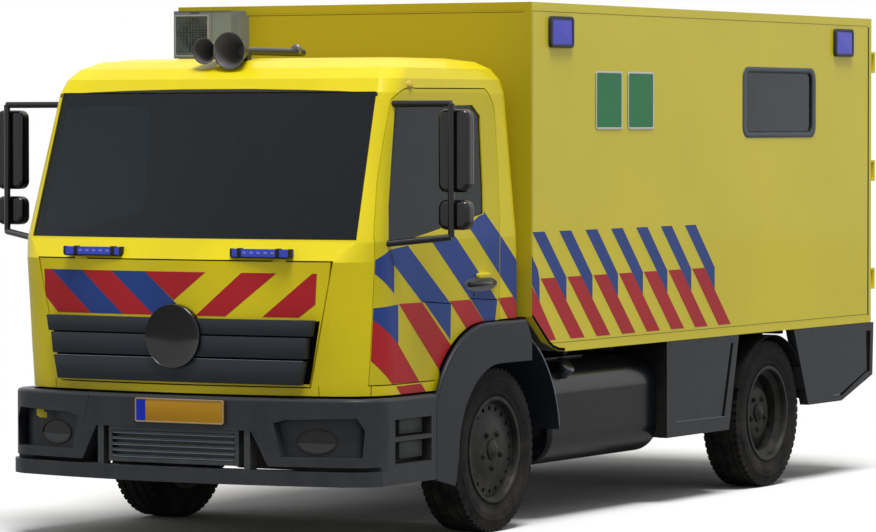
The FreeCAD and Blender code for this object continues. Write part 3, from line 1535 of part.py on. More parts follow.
def main():
    os.makedirs("parts", exist_ok=True)
    keep("chassis_frame", chassis_frame())
    keep("engine_block", engine_block())
    keep("leaf_springs", *leaf_springs())
    keep("front_axle", front_axle())
    keep("rear_axle", rear_axle())
    keep("fuel_tank", fuel_tank())
    keep("silencer", silencer())
    keep("bumper", bumper())
    keep("bumper_lamps", *bumper_lamps())
    keep("radiator_pack", radiator_pack())
    keep("front_mudguards", *both_sides(front_mudguards()))
    keep("side_skirts", *side_skirts())
    left_knuckle = knuckle()
    keep("knuckle_left", left_knuckle)
    keep("knuckle_right", other_side(left_knuckle))
    keep("track_rod", track_rod())
    for place, centre_y, set_in, rise in (
            ("front", 0, front_disc_set_in, front_disc_rise),
            ("rear", wheelbase, rear_disc_set_in, rear_disc_rise)):
        ring = tyre(centre_y)
        rim = wheel_rim(centre_y, set_in, rise)
        keep(f"tyre_{place}_left", ring)
        keep(f"tyre_{place}_right", other_side(ring))
        keep(f"rim_{place}_left", rim)
        keep(f"rim_{place}_right", other_side(rim))
    side = box_side()
    keep("box_side_left", side)
    keep("box_side_right", other_side(side))
    keep("box_front", box_front())
    keep("box_roof", box_roof())
    keep("box_floor", box_floor())
    keep("box_rear_frame", box_rear_frame())
    keep("box_windows", *box_windows())
    door = rear_door()
    keep("rear_door_left", door)
    keep("rear_door_right", other_side(door))
    glass = rear_glass()
    keep("rear_glass_left", glass)
    keep("rear_glass_right", other_side(glass))
    keep("blue_lamps", *blue_lamps(), *light_bars())
    keep("rear_lamps", *rear_lamps())
    keep("cooling_unit", cooling_unit())
    keep("cooling_fan", cooling_fan())
    keep("cab_shell", cab_shell())
    keep("windscreen", windscreen())
    keep("front_flap", front_flap())
    keep("grille", grille())
    cab_side_door = cab_door()
    keep("cab_door_left", cab_side_door)
    keep("cab_door_right", other_side(cab_side_door))
    pane = door_glass()
    keep("door_glass_left", pane)
    keep("door_glass_right", other_side(pane))
    arm = mirror()
    keep("mirror_left", arm)
    keep("mirror_right", other_side(arm))
    keep("dashboard", dashboard())
    keep("steering_wheel", steering_wheel())
    keep("seats", *seats())
    keep("horns", horns())


main()
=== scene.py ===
# %% [markdown]
# This lesson dresses a cab-over box-body ambulance. Its solid pieces were made in a CAD program and
# come in as a fixed frame: they are never moved, only painted, covered or dressed with finer pieces.
# The first cell loads that frame and keeps its size, because the dressed vehicle must stay inside it.

# %% Load the frame
import bpy
import bmesh
import math
from mathutils import Matrix, Vector


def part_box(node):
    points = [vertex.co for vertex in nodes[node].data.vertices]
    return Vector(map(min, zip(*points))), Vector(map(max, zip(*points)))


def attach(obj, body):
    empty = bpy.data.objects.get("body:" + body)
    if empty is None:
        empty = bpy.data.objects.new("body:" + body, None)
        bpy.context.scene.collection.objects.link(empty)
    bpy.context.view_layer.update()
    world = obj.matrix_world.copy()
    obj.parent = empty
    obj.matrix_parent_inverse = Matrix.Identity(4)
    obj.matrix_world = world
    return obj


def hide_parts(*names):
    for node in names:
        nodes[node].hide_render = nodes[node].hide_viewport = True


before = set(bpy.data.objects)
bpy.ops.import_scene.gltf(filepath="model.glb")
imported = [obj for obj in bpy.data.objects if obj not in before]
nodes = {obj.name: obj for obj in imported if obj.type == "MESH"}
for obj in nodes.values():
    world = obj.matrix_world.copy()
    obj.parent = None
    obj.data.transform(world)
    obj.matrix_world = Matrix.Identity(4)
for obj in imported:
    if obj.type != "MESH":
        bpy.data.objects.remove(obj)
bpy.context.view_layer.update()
scene = bpy.context.scene

# %% [markdown]
# The camera stands where the photographer stood: far away, low, to the left of the vehicle's front.
# Its place is written from the front axle, since the wheels were what the lens was solved from.

# %% Camera
IMAGE_WIDTH, SENSOR_WIDTH, LENS_IN_PIXELS = 876, 36, 4443.6
CAMERA_X, CAMERA_BEFORE_AXLE, CAMERA_Z = 13.1080, 21.9485, 2.2951
CAMERA_TURN, CAMERA_DIP, CAMERA_ROLL = 0.5117267, 0.0317549, -0.00069
tyre_low, tyre_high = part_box("tyre_front_left")
AXLE_Y, AXLE_Z = (tyre_low.y + tyre_high.y) / 2, (tyre_low.z + tyre_high.z) / 2

camera_data = bpy.data.cameras.new("camera")
camera_data.sensor_width = SENSOR_WIDTH
camera_data.lens = LENS_IN_PIXELS / IMAGE_WIDTH * SENSOR_WIDTH
camera_data.clip_end = 200
camera = bpy.data.objects.new("camera", camera_data)
scene.collection.objects.link(camera)
camera.matrix_world = (Matrix.Translation((CAMERA_X, AXLE_Y - CAMERA_BEFORE_AXLE, CAMERA_Z))
    @ Matrix.Rotation(CAMERA_TURN, 4, "Z") @ Matrix.Rotation(math.pi / 2 - CAMERA_DIP, 4, "X")
    @ Matrix.Rotation(CAMERA_ROLL, 4, "Z"))
scene.camera = camera
print("lens", round(camera_data.lens, 1), "mm")

# %% [markdown]
# Screen colours are easier to pick than linear ones, so one helper turns a picked 0 to 255 colour into
# what a shader wants. The node helpers only save typing: they add nodes and link them.

# %% Colour and node helpers
def tint(red, green, blue):
    """Picked screen colour, 0 to 255, as the linear colour of a shader socket."""
    linear = [(v / 255 / 12.92) if v < 11 else ((v / 255 + 0.055) / 1.055) ** 2.4 for v in (red, green, blue)]
    return (*linear, 1.0)


def feed(tree, node, links):
    """Gives a node's inputs a value each, or a link from a socket or from a node's first output."""
    for name, source in links.items():
        if isinstance(source, bpy.types.Node):
            source = source.outputs[0]
        if isinstance(source, bpy.types.NodeSocket):
            tree.links.new(source, node.inputs[name])
        else:
            node.inputs[name].default_value = source


def add(tree, kind, links=None, **values):
    """New node; values sets node settings, and links feeds its inputs."""
    node = tree.nodes.new(kind)
    for name, value in values.items():
        setattr(node, name, value)
    feed(tree, node, links or {})
    return node


def new_group(name, inputs, outputs, kind="ShaderNodeTree"):
    """Empty node group with named sockets, and its input and output nodes."""
    group = bpy.data.node_groups.new(name, kind)
    for label, socket_kind, value in inputs:
        socket = group.interface.new_socket(label, in_out="INPUT", socket_type=socket_kind)
        if value is not None:
            socket.default_value = value
    for label, socket_kind in outputs:
        group.interface.new_socket(label, in_out="OUTPUT", socket_type=socket_kind)
    return group, group.nodes.new("NodeGroupInput").outputs, group.nodes.new("NodeGroupOutput")


def new_material(name):
    """Material with its tree and its shader."""
    material = bpy.data.materials.new(name)
    material.use_nodes = True
    return material, material.node_tree, material.node_tree.nodes["Principled BSDF"]


print("middle grey is", round(tint(128, 128, 128)[0], 3), "in a shader")

# %% [markdown]
# Light comes before paint, because a paint can only be judged under it. A studio has one big soft source
# above and a pale room all round. Here a wide sun stands for the first and the world for the second,
# and the two together are kept at the level where a colour renders about as it is written.

# %% Studio light
ROOM_LEVEL, KEY_STRENGTH, KEY_WIDTH = 0.34, 2.95, math.radians(25)
KEY_DIRECTION = Vector((-0.22, 0.24, -1.0))
scene.view_settings.view_transform = "Standard"
world = bpy.data.worlds.new("studio")
world.use_nodes = True
scene.world = world
tree = world.node_tree
ray = add(tree, "ShaderNodeLightPath").outputs
seen = add(tree, "ShaderNodeMath", {0: ray["Is Camera Ray"], 1: ray["Is Glossy Ray"]}, operation="MAXIMUM")
seen_or_glass = add(tree, "ShaderNodeMath", {0: seen, 1: ray["Is Transmission Ray"]}, operation="MAXIMUM")
level = add(tree, "ShaderNodeMapRange", {"Value": seen_or_glass, "To Min": ROOM_LEVEL, "To Max": 1.0})
feed(tree, tree.nodes["Background"], {"Color": (1, 1, 1, 1), "Strength": level})

key_data = bpy.data.lights.new("key", "SUN")
key_data.energy = KEY_STRENGTH
key_data.angle = KEY_WIDTH
key = bpy.data.objects.new("key", key_data)
scene.collection.objects.link(key)
key.rotation_euler = KEY_DIRECTION.to_track_quat("-Z", "Y").to_euler()
print("key sun", key_data.energy, "room", ROOM_LEVEL)

# %% [markdown]
# Nothing on a working vehicle has one even colour. Paint fades in broad clouds, and road dust gathers
# low down. Every finish needs both, so they become one group with its own amounts: broad noise makes
# the colour a little lighter and darker, and a mask that falls with height lets dust cover the rest.

# %% Group: cloudy colour and road dust
DUST_COLOUR = tint(150, 142, 128)
clouds, given, result = new_group("clouds_and_dust", [("Colour", "NodeSocketColor", (0.5, 0.5, 0.5, 1)),
    ("Clouds", "NodeSocketFloat", 0.1), ("Cloud Scale", "NodeSocketFloat", 2.0), ("Dust", "NodeSocketFloat", 0.2),
    ("Dust Top", "NodeSocketFloat", 1.2)], [("Colour", "NodeSocketColor"), ("Dust", "NodeSocketFloat")])
place = add(clouds, "ShaderNodeTexCoord").outputs["Object"]
broad = add(clouds, "ShaderNodeTexNoise", {"Vector": place, "Scale": given["Cloud Scale"], "Detail": 4.0})
shift = add(clouds, "ShaderNodeMapRange", {"Value": broad.outputs["Fac"], "From Min": 0.3, "From Max": 0.7,
    "To Min": -1.0, "To Max": 1.0})
amount = add(clouds, "ShaderNodeMath", {0: shift, 1: given["Clouds"]}, operation="MULTIPLY")
value = add(clouds, "ShaderNodeMath", {0: amount, 1: 1.0}, operation="ADD")
toned = add(clouds, "ShaderNodeHueSaturation", {"Color": given["Colour"], "Value": value})
height = add(clouds, "ShaderNodeSeparateXYZ", {0: place}).outputs["Z"]
low_down = add(clouds, "ShaderNodeMapRange", {"Value": height, "From Min": 0.1, "From Max": given["Dust Top"],
    "To Min": 1.0, "To Max": 0.0})
specks = add(clouds, "ShaderNodeTexNoise", {"Vector": place, "Scale": 9.0, "Detail": 8.0, "Roughness": 0.7})
patchy = add(clouds, "ShaderNodeMapRange", {"Value": specks.outputs["Fac"], "From Min": 0.35, "From Max": 0.75})
low_patches = add(clouds, "ShaderNodeMath", {0: low_down, 1: patchy}, operation="MULTIPLY")
dust_mask = add(clouds, "ShaderNodeMath", {0: low_patches, 1: given["Dust"]}, operation="MULTIPLY")
covered = add(clouds, "ShaderNodeMix", {0: dust_mask, 6: toned, 7: DUST_COLOUR}, data_type="RGBA")
feed(clouds, result, {"Colour": covered.outputs[2], "Dust": dust_mask})
print("group", clouds.name, len(clouds.nodes), "nodes")

# %% [markdown]
# Under raking light a surface shows its texture: moulded plastic has a leathery grain, cast iron is
# rough, paint has a faint orange peel. One group makes that height from two noises, and each material
# sends it through its own Bump node, so that the grain keeps its real size everywhere.

# %% Group: surface grain
grain, given, result = new_group("surface_grain", [("Scale", "NodeSocketFloat", 300.0),
    ("Coarse", "NodeSocketFloat", 0.3)], [("Height", "NodeSocketFloat")])
place = add(grain, "ShaderNodeTexCoord").outputs["Object"]
fine = add(grain, "ShaderNodeTexNoise", {"Vector": place, "Scale": given["Scale"], "Detail": 3.0})
coarse_scale = add(grain, "ShaderNodeMath", {0: given["Scale"], 1: 0.08}, operation="MULTIPLY")
coarse = add(grain, "ShaderNodeTexNoise", {"Vector": place, "Scale": coarse_scale, "Detail": 2.0})
blend = add(grain, "ShaderNodeMix", {0: given["Coarse"], 2: fine.outputs["Fac"], 3: coarse.outputs["Fac"]})
feed(grain, result, {"Height": blend})
print("group", grain.name, len(grain.nodes), "nodes")

# %% [markdown]
# Edges lose their paint first. Where a rounded-off normal differs from the true one, the surface is
# near an edge, and that difference, broken up by noise, is a mask for bare or rubbed material.

# %% Group: edge wear
wear, given, result = new_group("edge_wear", [("Radius", "NodeSocketFloat", 0.006),
    ("Amount", "NodeSocketFloat", 0.5)], [("Mask", "NodeSocketFloat")])
place = add(wear, "ShaderNodeTexCoord").outputs["Object"]
soft_normal = add(wear, "ShaderNodeBevel", {"Radius": given["Radius"]}, samples=4)
true_normal = add(wear, "ShaderNodeNewGeometry").outputs["Normal"]
alike = add(wear, "ShaderNodeVectorMath", {0: soft_normal, 1: true_normal}, operation="DOT_PRODUCT")
near_edge = add(wear, "ShaderNodeMapRange", {"Value": alike.outputs["Value"], "From Min": 0.98, "From Max": 0.8})
chips = add(wear, "ShaderNodeTexNoise", {"Vector": place, "Scale": 35.0, "Detail": 5.0})
broken = add(wear, "ShaderNodeMapRange", {"Value": chips.outputs["Fac"], "From Min": 0.45, "From Max": 0.6})
mask = add(wear, "ShaderNodeMath", {0: near_edge, 1: broken}, operation="MULTIPLY")
worn_away = add(wear, "ShaderNodeMath", {0: mask, 1: given["Amount"]}, operation="MULTIPLY")
feed(wear, result, {"Mask": worn_away})
print("group", wear.name, len(wear.nodes), "nodes")

# %% [markdown]
# All the finishes are built the same way: cloudy colour, worn edges, dust that dulls the gloss, and a
# fine grain in the bump. A small recipe takes the real differences as numbers, and puts every constant
# straight on the shader's own sockets, where an exported model keeps it.

# %% Finish recipe
COAT_ROUGHNESS, DUSTY_ROUGHNESS, GRAIN_DEPTH = 0.06, 0.9, 0.002
finishes = {}


def add_grain(tree, shader, scale, strength):
    texture = add(tree, "ShaderNodeGroup", {"Scale": scale}, node_tree=grain)
    bump = add(tree, "ShaderNodeBump", {"Height": texture, "Strength": strength, "Distance": GRAIN_DEPTH})
    feed(tree, shader, {"Normal": bump})


def finish(name, colour, roughness, metallic=0.0, clouds_by=0.06, dust=0.15, dust_top=1.1, grain_scale=300.0,
           grain_by=0.0, worn=0.0, worn_colour=(120, 118, 114), coat=0.0, cloud_scale=2.0, shine=0.5):
    """Puts one finish into finishes; colour is a picked 0-255 colour."""
    material, tree, shader = new_material(name)
    painted = add(tree, "ShaderNodeGroup", {"Colour": tint(*colour), "Clouds": clouds_by, "Cloud Scale": cloud_scale,
        "Dust": dust, "Dust Top": dust_top}, node_tree=clouds)
    colour_out = painted.outputs["Colour"]
    if worn:
        rubbed = add(tree, "ShaderNodeGroup", {"Amount": worn}, node_tree=wear)
        mixed = add(tree, "ShaderNodeMix", {0: rubbed, 6: colour_out, 7: tint(*worn_colour)}, data_type="RGBA")
        colour_out = mixed.outputs[2]
    duller = add(tree, "ShaderNodeMapRange", {"Value": painted.outputs["Dust"], "To Min": roughness,
        "To Max": DUSTY_ROUGHNESS})
    feed(tree, shader, {"Metallic": metallic, "Coat Weight": coat, "Specular IOR Level": shine,
        "Coat Roughness": COAT_ROUGHNESS, "Base Color": colour_out, "Roughness": duller})
    if grain_by:
        add_grain(tree, shader, grain_scale, grain_by)
    finishes[name] = material


print("grain depth", GRAIN_DEPTH * 1000, "mm")

# %% [markdown]
# The yellow is a bright solid colour under clear lacquer. The cab is pressed steel and shines; the box
# is a flat glass-fibre panel, a shade paler and duller. The dark lower parts are moulded plastic with
# a grain, and the running gear is painted steel that has seen the road.

# %% Finishes of the frame's own pieces
finish("body_yellow", (240, 220, 8), 0.40, coat=0.15, grain_scale=120, grain_by=0.04, dust=0.05, shine=0.35)
# The doors take a darker, duller copy of the cab's yellow: painted shade on the cab's sides.
finish("door_yellow", (222, 205, 28), 0.42, coat=0.1, grain_scale=120, grain_by=0.04, dust=0.05, shine=0.25)
finish("box_yellow", (235, 218, 40), 0.45, coat=0.15, grain_scale=90, grain_by=0.06, dust=0.12, dust_top=1.6,
    cloud_scale=0.7, clouds_by=0.05)
finish("frame_black", (26, 27, 28), 0.55, grain_scale=180, grain_by=0.2, dust=0.3, worn=0.3, shine=0.25)
finish("engine_grey", (52, 52, 52), 0.6, metallic=0.3, grain_scale=120, grain_by=0.5, dust=0.4, worn=0.4, shine=0.3)
finish("axle_grey", (36, 37, 38), 0.55, metallic=0.2, grain_scale=140, grain_by=0.4, dust=0.45, worn=0.4, shine=0.3)
finish("tank_black", (16, 19, 24), 0.24, coat=0.15, grain_scale=60, grain_by=0.03, dust=0.0, shine=0.25)
finish("silencer_grey", (92, 90, 88), 0.45, metallic=0.8, grain_scale=90, grain_by=0.3, dust=0.5, worn=0.3,
    worn_colour=(140, 96, 60))
finish("trim_dark", (42, 46, 52), 0.42, grain_scale=420, grain_by=0.12, dust=0.1, worn=0.2, worn_colour=(92, 96, 99),
    shine=0.28)
finish("radiator_grey", (58, 62, 66), 0.4, metallic=0.5, grain_scale=200, grain_by=0.2, dust=0.25)
finish("tyre_black", (20, 20, 22), 0.8, grain_scale=500, grain_by=0.3, dust=0.16, dust_top=1.2, shine=0.15)
finish("wheel_grey", (24, 26, 27), 0.5, metallic=0.2, grain_scale=160, grain_by=0.1, dust=0.2, worn=0.2, shine=0.25)
finish("floor_grey", (70, 70, 68), 0.7, grain_scale=220, grain_by=0.3, dust=0.4, dust_top=1.6)
finish("lens_red", (150, 18, 20), 0.2, coat=0.6, dust=0.2)
finish("lens_dark", (24, 26, 29), 0.15, coat=0.5, dust=0.1, shine=0.3)
finish("cooler_white", (124, 134, 140), 0.5, grain_scale=200, grain_by=0.1, dust=0.0, worn=0.15, clouds_by=0.05)
finish("fan_black", (30, 32, 34), 0.5, grain_scale=300, grain_by=0.15, shine=0.3)
finish("mirror_black", (12, 13, 15), 0.16, coat=0.3, grain_scale=200, grain_by=0.03, dust=0.0, shine=0.3)
finish("dash_grey", (44, 46, 49), 0.62, grain_scale=380, grain_by=0.35, dust=0.0, shine=0.3)
finish("seat_cloth", (40, 44, 54), 0.9, grain_scale=700, grain_by=0.6, dust=0.0, shine=0.2)
finish("horn_metal", (64, 64, 66), 0.35, metallic=0.6, dust=0.0, clouds_by=0.08)
# A paler, less metallic grey than the horn metal: inside the bells it is a painted reflection of the room, and the
# driver takes the same grey.
finish("horn_inside", (112, 110, 108), 0.32, metallic=0.25, dust=0.0, clouds_by=0.08)
# The box's front wall, the box's front edges and the small bay corner take a darker copy of the yellow: painted
# shade.
finish("shaded_front_yellow", (188, 171, 24), 0.5, grain_scale=90, grain_by=0.06, dust=0.1, dust_top=1.6, cloud_scale=0.7,
    clouds_by=0.05, shine=0.3)
# Near black, for the grille gaps, the bend under the box's front corner and the skirt slots: painted shade.
finish("deep_shade_black", (4, 4, 4), 0.8, grain_scale=260, grain_by=0.1, dust=0.0, shine=0.05)
# Black for the sheets in the rear wheel arches and on the skirts' front ends: painted shade.
finish("shade_sheet_black", (14, 15, 16), 0.7, grain_scale=260, grain_by=0.2, dust=0.12, shine=0.15)
finish("guard_dark", (30, 35, 43), 0.4, grain_scale=420, grain_by=0.1, dust=0.05, worn=0.15, worn_colour=(92, 96, 99),
    shine=0.3)
# Pale blue-grey for thin lines on the mudguard's sheet edge, the skirt joints and the tank top: painted highlights.
finish("edge_highlight", (96, 112, 124), 0.35, grain_scale=300, grain_by=0.1, dust=0.05)
finish("cap_metal", (70, 74, 80), 0.22, metallic=0.7, coat=0.3, grain_scale=200, grain_by=0.05, dust=0.0)
finish("cooler_rim", (160, 158, 158), 0.4, grain_scale=240, grain_by=0.05, dust=0.0)
finish("mesh_dark", (84, 94, 94), 0.6, grain_scale=300, grain_by=0.1, dust=0.05, shine=0.3)
finish("mesh_wire", (104, 112, 112), 0.4, metallic=0.4, grain_scale=300, grain_by=0.05, dust=0.0)
# Pale blue-grey for the lowest slat's top edge and the radiator fins: painted reflections.
finish("fin_highlight", (120, 132, 146), 0.3, metallic=0.3, grain_scale=120, grain_by=0.1, dust=0.0)
finish("rod_steel", (150, 152, 152), 0.3, metallic=0.9, grain_scale=200, grain_by=0.08, dust=0.05)
print(len(finishes), "finishes")

# %% [markdown]
# The windows are dark privacy glass: from outside they read as a smooth grey sheet that mirrors the
# pale room. Real thick glass does this by itself, so the shader keeps full transmission with a dark
# grey body colour. The side panes mirror less than the windscreen, so they bend light less.

# %% Glass
def glass(name, colour, bend):
    material, tree, shader = new_material(name)
    feed(tree, shader, {"Base Color": tint(*colour), "Transmission Weight": 1.0, "Roughness": 0.02, "IOR": bend,
        "Specular Tint": tint(222, 238, 250)})
    add_grain(tree, shader, 60.0, 0.02)
    finishes[name] = material


glass("glass_tinted", (66, 77, 86), 1.38)
glass("glass_side", (60, 74, 84), 1.29)
finish("lens_blue", (40, 70, 212), 0.2, coat=0.3, dust=0.0)
for node in nodes.values():
    for material_slot in node.material_slots:
        material_slot.material = finishes[material_slot.material.name.split(".")[0]]
# The doors and the box's front wall get their darker copies of the yellow here, as painted shade.
OWN_FINISH = {"door_yellow": ("cab_door_left", "cab_door_right"), "shaded_front_yellow": ("box_front",),
    "guard_dark": ("front_mudguards",), "glass_side": ("door_glass_left", "door_glass_right", "box_windows",
    "rear_glass_left", "rear_glass_right")}
for own, node_names in OWN_FINISH.items():
    for name in node_names:
        nodes[name].material_slots[0].material = finishes[own]
print("painted", len(nodes), "nodes")

# %% [markdown]
# The floor is pale and endless. Near the wheels it is a real matt surface that takes the shadow, and
# further out it turns into the same white as the room, so no horizon cuts the picture. A white floor
# would throw too much light up into the wheel arches, so only the camera sees it as pale as it is.

# %% Floor
FLOOR_HALF, SHADOW_RADIUS, WHITE_RADIUS = 60, 3.2, 7.5
mesh = bpy.data.meshes.new("floor")
mesh.from_pydata([(x * FLOOR_HALF, y * FLOOR_HALF, 0) for x, y in ((-1, -1), (1, -1), (1, 1), (-1, 1))], [],
    [(0, 1, 2, 3)])
floor = bpy.data.objects.new("floor", mesh)
scene.collection.objects.link(floor)
material, tree, shader = new_material("studio_floor")
glow = add(tree, "ShaderNodeEmission", {"Color": (1, 1, 1, 1), "Strength": 1.0})
spot = add(tree, "ShaderNodeTexCoord").outputs["Object"]
distance = add(tree, "ShaderNodeVectorMath", {0: spot}, operation="LENGTH").outputs["Value"]
fade = add(tree, "ShaderNodeMapRange", {"Value": distance, "From Min": SHADOW_RADIUS, "From Max": WHITE_RADIUS},
    interpolation_type="SMOOTHSTEP")
seen = add(tree, "ShaderNodeLightPath").outputs["Is Camera Ray"]
paler = add(tree, "ShaderNodeMix", {0: seen, 6: (0.30, 0.30, 0.30, 1), 7: (0.90, 0.90, 0.90, 1)}, data_type="RGBA")
feed(tree, shader, {"Roughness": 0.9, "Specular IOR Level": 0.0, "Base Color": paler.outputs[2]})
only_seen = add(tree, "ShaderNodeMath", {0: fade, 1: seen}, operation="MULTIPLY")
mixed = add(tree, "ShaderNodeMixShader", {0: only_seen, 1: shader, 2: glow})
feed(tree, tree.nodes["Material Output"], {"Surface": mixed})
mesh.materials.append(material)
print("floor")

# %% [markdown]
# Every finer piece is made the same way: points and faces first, then a plain mesh whose place is in
# its points, and last a piece that rides on a body. Lengths along the vehicle are written from the
# front axle, as they were measured, so one helper adds the axle's place.

# %% Mesh helpers
ACROSS, ALONG = Vector((1, 0, 0)), Vector((0, 1, 0))


def at(x, y, z):
    """Point measured from the middle, the front axle and the ground."""
    return Vector((x, AXLE_Y + y, z))


def on_axis(axis, a, b, c):
    """Point with c along X, Y or Z, and a and b along the two other axes in their order."""
    return at(c, a, b) if axis == "X" else at(a, c, b) if axis == "Y" else at(a, b, c)


def turn_at(step, steps):
    return 2 * math.pi * step / steps


def rounded(shape, bevel, angle=0.5, segments=2, **limits):
    """Turns the faces outwards and rounds the edges sharper than an angle."""
    bmesh.ops.recalc_face_normals(shape, faces=shape.faces)
    if bevel:
        sharp = [edge for edge in shape.edges if edge.calc_face_angle() > angle]
        bmesh.ops.bevel(shape, geom=sharp, offset=bevel, segments=segments, profile=0.5, affect="EDGES", **limits)
    return shape


def bridge(shape, rings, closed):
    """Faces between each ring of points and the next; open ends get a cap."""
    for first, second in zip(rings, rings[1:] + rings[:closed]):
        for index in range(len(first)):
            after = (index + 1) % len(first)
            shape.faces.new((first[index], first[after], second[after], second[index]))
    if not closed:
        shape.faces.new(rings[0][::-1])
        shape.faces.new(rings[-1])


print("axle at y", round(AXLE_Y, 4), "z", round(AXLE_Z, 4))

# %% [markdown]
# Most trim is flat: an outline pushed straight back, a plate with round corners, or a ring between two
# outlines. Their edges get a small bevel, because a real edge is never quite sharp and catches light.

# %% Flat shapes
def outline_prism(points, axis, low, high, bevel=0.0, segments=2):
    """Closed outline in the two other axes, pushed along X, Y or Z from low to high; Y from the axle."""
    shape = bmesh.new()
    rings = [[shape.verts.new(on_axis(axis, a, b, c)) for a, b in points] for c in (low, high)]
    shape.faces.new(rings[0])
    shape.faces.new(rings[1][::-1])
    for index in range(len(points)):
        after = (index + 1) % len(points)
        shape.faces.new((rings[0][index], rings[1][index], rings[1][after], rings[0][after]))
    return rounded(shape, bevel, segments=segments, clamp_overlap=True)


def rectangle(a0, b0, a1, b1):
    return [(a0, b0), (a1, b0), (a1, b1), (a0, b1)]


def round_rectangle(a0, b0, a1, b1, radius, steps=5):
    """Outline of a rectangle with round corners."""
    points = []
    for ca, cb, start in ((a1 - radius, b0 + radius, -90), (a1 - radius, b1 - radius, 0),
                          (a0 + radius, b1 - radius, 90), (a0 + radius, b0 + radius, 180)):
        for step in range(steps + 1):
            turn = math.radians(start + 90 * step / steps)
            points.append((ca + radius * math.cos(turn), cb + radius * math.sin(turn)))
    return points


def plate(a0, b0, a1, b1, radius, axis, low, high, bevel=0.0):
    """Flat plate, with round corners where a radius is given."""
    outline = round_rectangle(a0, b0, a1, b1, radius) if radius else rectangle(a0, b0, a1, b1)
    return outline_prism(outline, axis, low, high, bevel)


def frame_ring(outer, inner, axis, low, high, bevel=0.0):
    """Flat ring between two outlines with the same number of points."""
    shape = bmesh.new()
    loops = [[shape.verts.new(on_axis(axis, a, b, c)) for a, b in line]
        for line, c in ((outer, low), (outer, high), (inner, high), (inner, low))]
    bridge(shape, loops, True)
    return rounded(shape, bevel, 1.0)


print("flat shapes: prism, plate and ring")

# %% [markdown]
# A handle or a seam's piping is a tube bent along a few points. Wheels, caps and horn bells are turned
# shapes, as from a lathe: one outline that is spun about an axis.

# %% Tubes and turned shapes
def tube(points, radius, sides=16, closed=False):
    """Round tube along points, with a ring at each corner."""
    shape = bmesh.new()
    rings = []
    count = len(points)
    for index, point in enumerate(points):
        before = points[index - 1] if index or closed else point
        after = points[(index + 1) % count] if index < count - 1 or closed else point
        along = (after - before).normalized()
        side = along.cross(Vector((0.1, 0.2, 1))).normalized()
        up = side.cross(along)
        rings.append([shape.verts.new(point + (side * math.cos(turn) + up * math.sin(turn)) * radius)
            for turn in (turn_at(step, sides) for step in range(sides))])
    bridge(shape, rings, closed)
    return rounded(shape, 0)


def spin_profile(profile, centre, axis, steps=48):
    """Turns a closed outline of (along, radius) points about an axis through centre."""
    shape = bmesh.new()
    axis = axis.normalized()
    side = axis.orthogonal().normalized()
    up = axis.cross(side)
    rings = []
    for step in range(steps):
        out = side * math.cos(turn_at(step, steps)) + up * math.sin(turn_at(step, steps))
        rings.append([shape.verts.new(centre + axis * along + out * radius) for along, radius in profile])
    bridge(shape, rings, True)
    bmesh.ops.remove_doubles(shape, verts=shape.verts, dist=1e-6)
    bmesh.ops.dissolve_degenerate(shape, edges=shape.edges, dist=1e-7)
    return rounded(shape, 0)


print("tubes and turned shapes")

# %% [markdown]
# The vehicle's sides are alike, so a shape is made once and mirrored. A piece joins its shapes into one
# mesh, marks the edges that stay sharp, takes its finish and rides on a body.

# %% Sides and pieces
def mirrored(shape):
    """Copy of a shape on the other side of the vehicle."""
    copy = shape.copy()
    for vert in copy.verts:
        vert.co.x = -vert.co.x
    bmesh.ops.reverse_faces(copy, faces=copy.faces)
    return copy


def both(shape):
    return [shape, mirrored(shape)]


def both_prisms(outlines, *sizes):
    """Prisms of several outlines, each on both sides."""
    return [side_shape for outline in outlines for side_shape in both(outline_prism(outline, *sizes))]


SIDES = (("left", lambda shape: shape), ("right", mirrored))


def make_piece(name, shapes, finish_name, body="chassis", slot_name="trim_dark", smooth=35):
    """Joins shapes into one mesh and lets it ride on a body."""
    mesh = bpy.data.meshes.new(name)
    joined = bmesh.new()
    for shape in (shapes if isinstance(shapes, list) else [shapes]):
        part = bpy.data.meshes.new("part")
        shape.to_mesh(part)
        shape.free()
        joined.from_mesh(part)
        bpy.data.meshes.remove(part)
    for face in joined.faces:
        face.smooth = True
    for edge in joined.edges:
        edge.smooth = len(edge.link_faces) == 2 and edge.calc_face_angle() < math.radians(smooth)
    joined.to_mesh(mesh)
    joined.free()
    mesh.materials.append(finishes[finish_name])
    piece = bpy.data.objects.new(name, mesh)
    scene.collection.objects.link(piece)
    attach(piece, body)
    return piece


print("sides", [side for side, _ in SIDES])

# %% [markdown]
# The warning stripes are printed foil stuck on the panels. A foil must follow every bend of the panel
# and end at its gaps. So each stripe is cut out of a copy of the panel's own skin: the faces that look
# outwards are kept, planes through the stripe's edges slice off the rest, and what is left is lifted
# by less than a millimetre.

# %% Foil helper
OUTWARDS = {"left": (ACROSS, 1), "right": (-ACROSS, 1), "front": (-ALONG, 0)}
LEAST_FACING = 0.2
# How far out a skin lies that takes a foil: box wall, cab door, cab shell and front flap.
WALL_BEYOND, DOOR_BEYOND, SHELL_BEYOND, FLAP_BEYOND = 1.18, 0.97, 1.03, 3.20


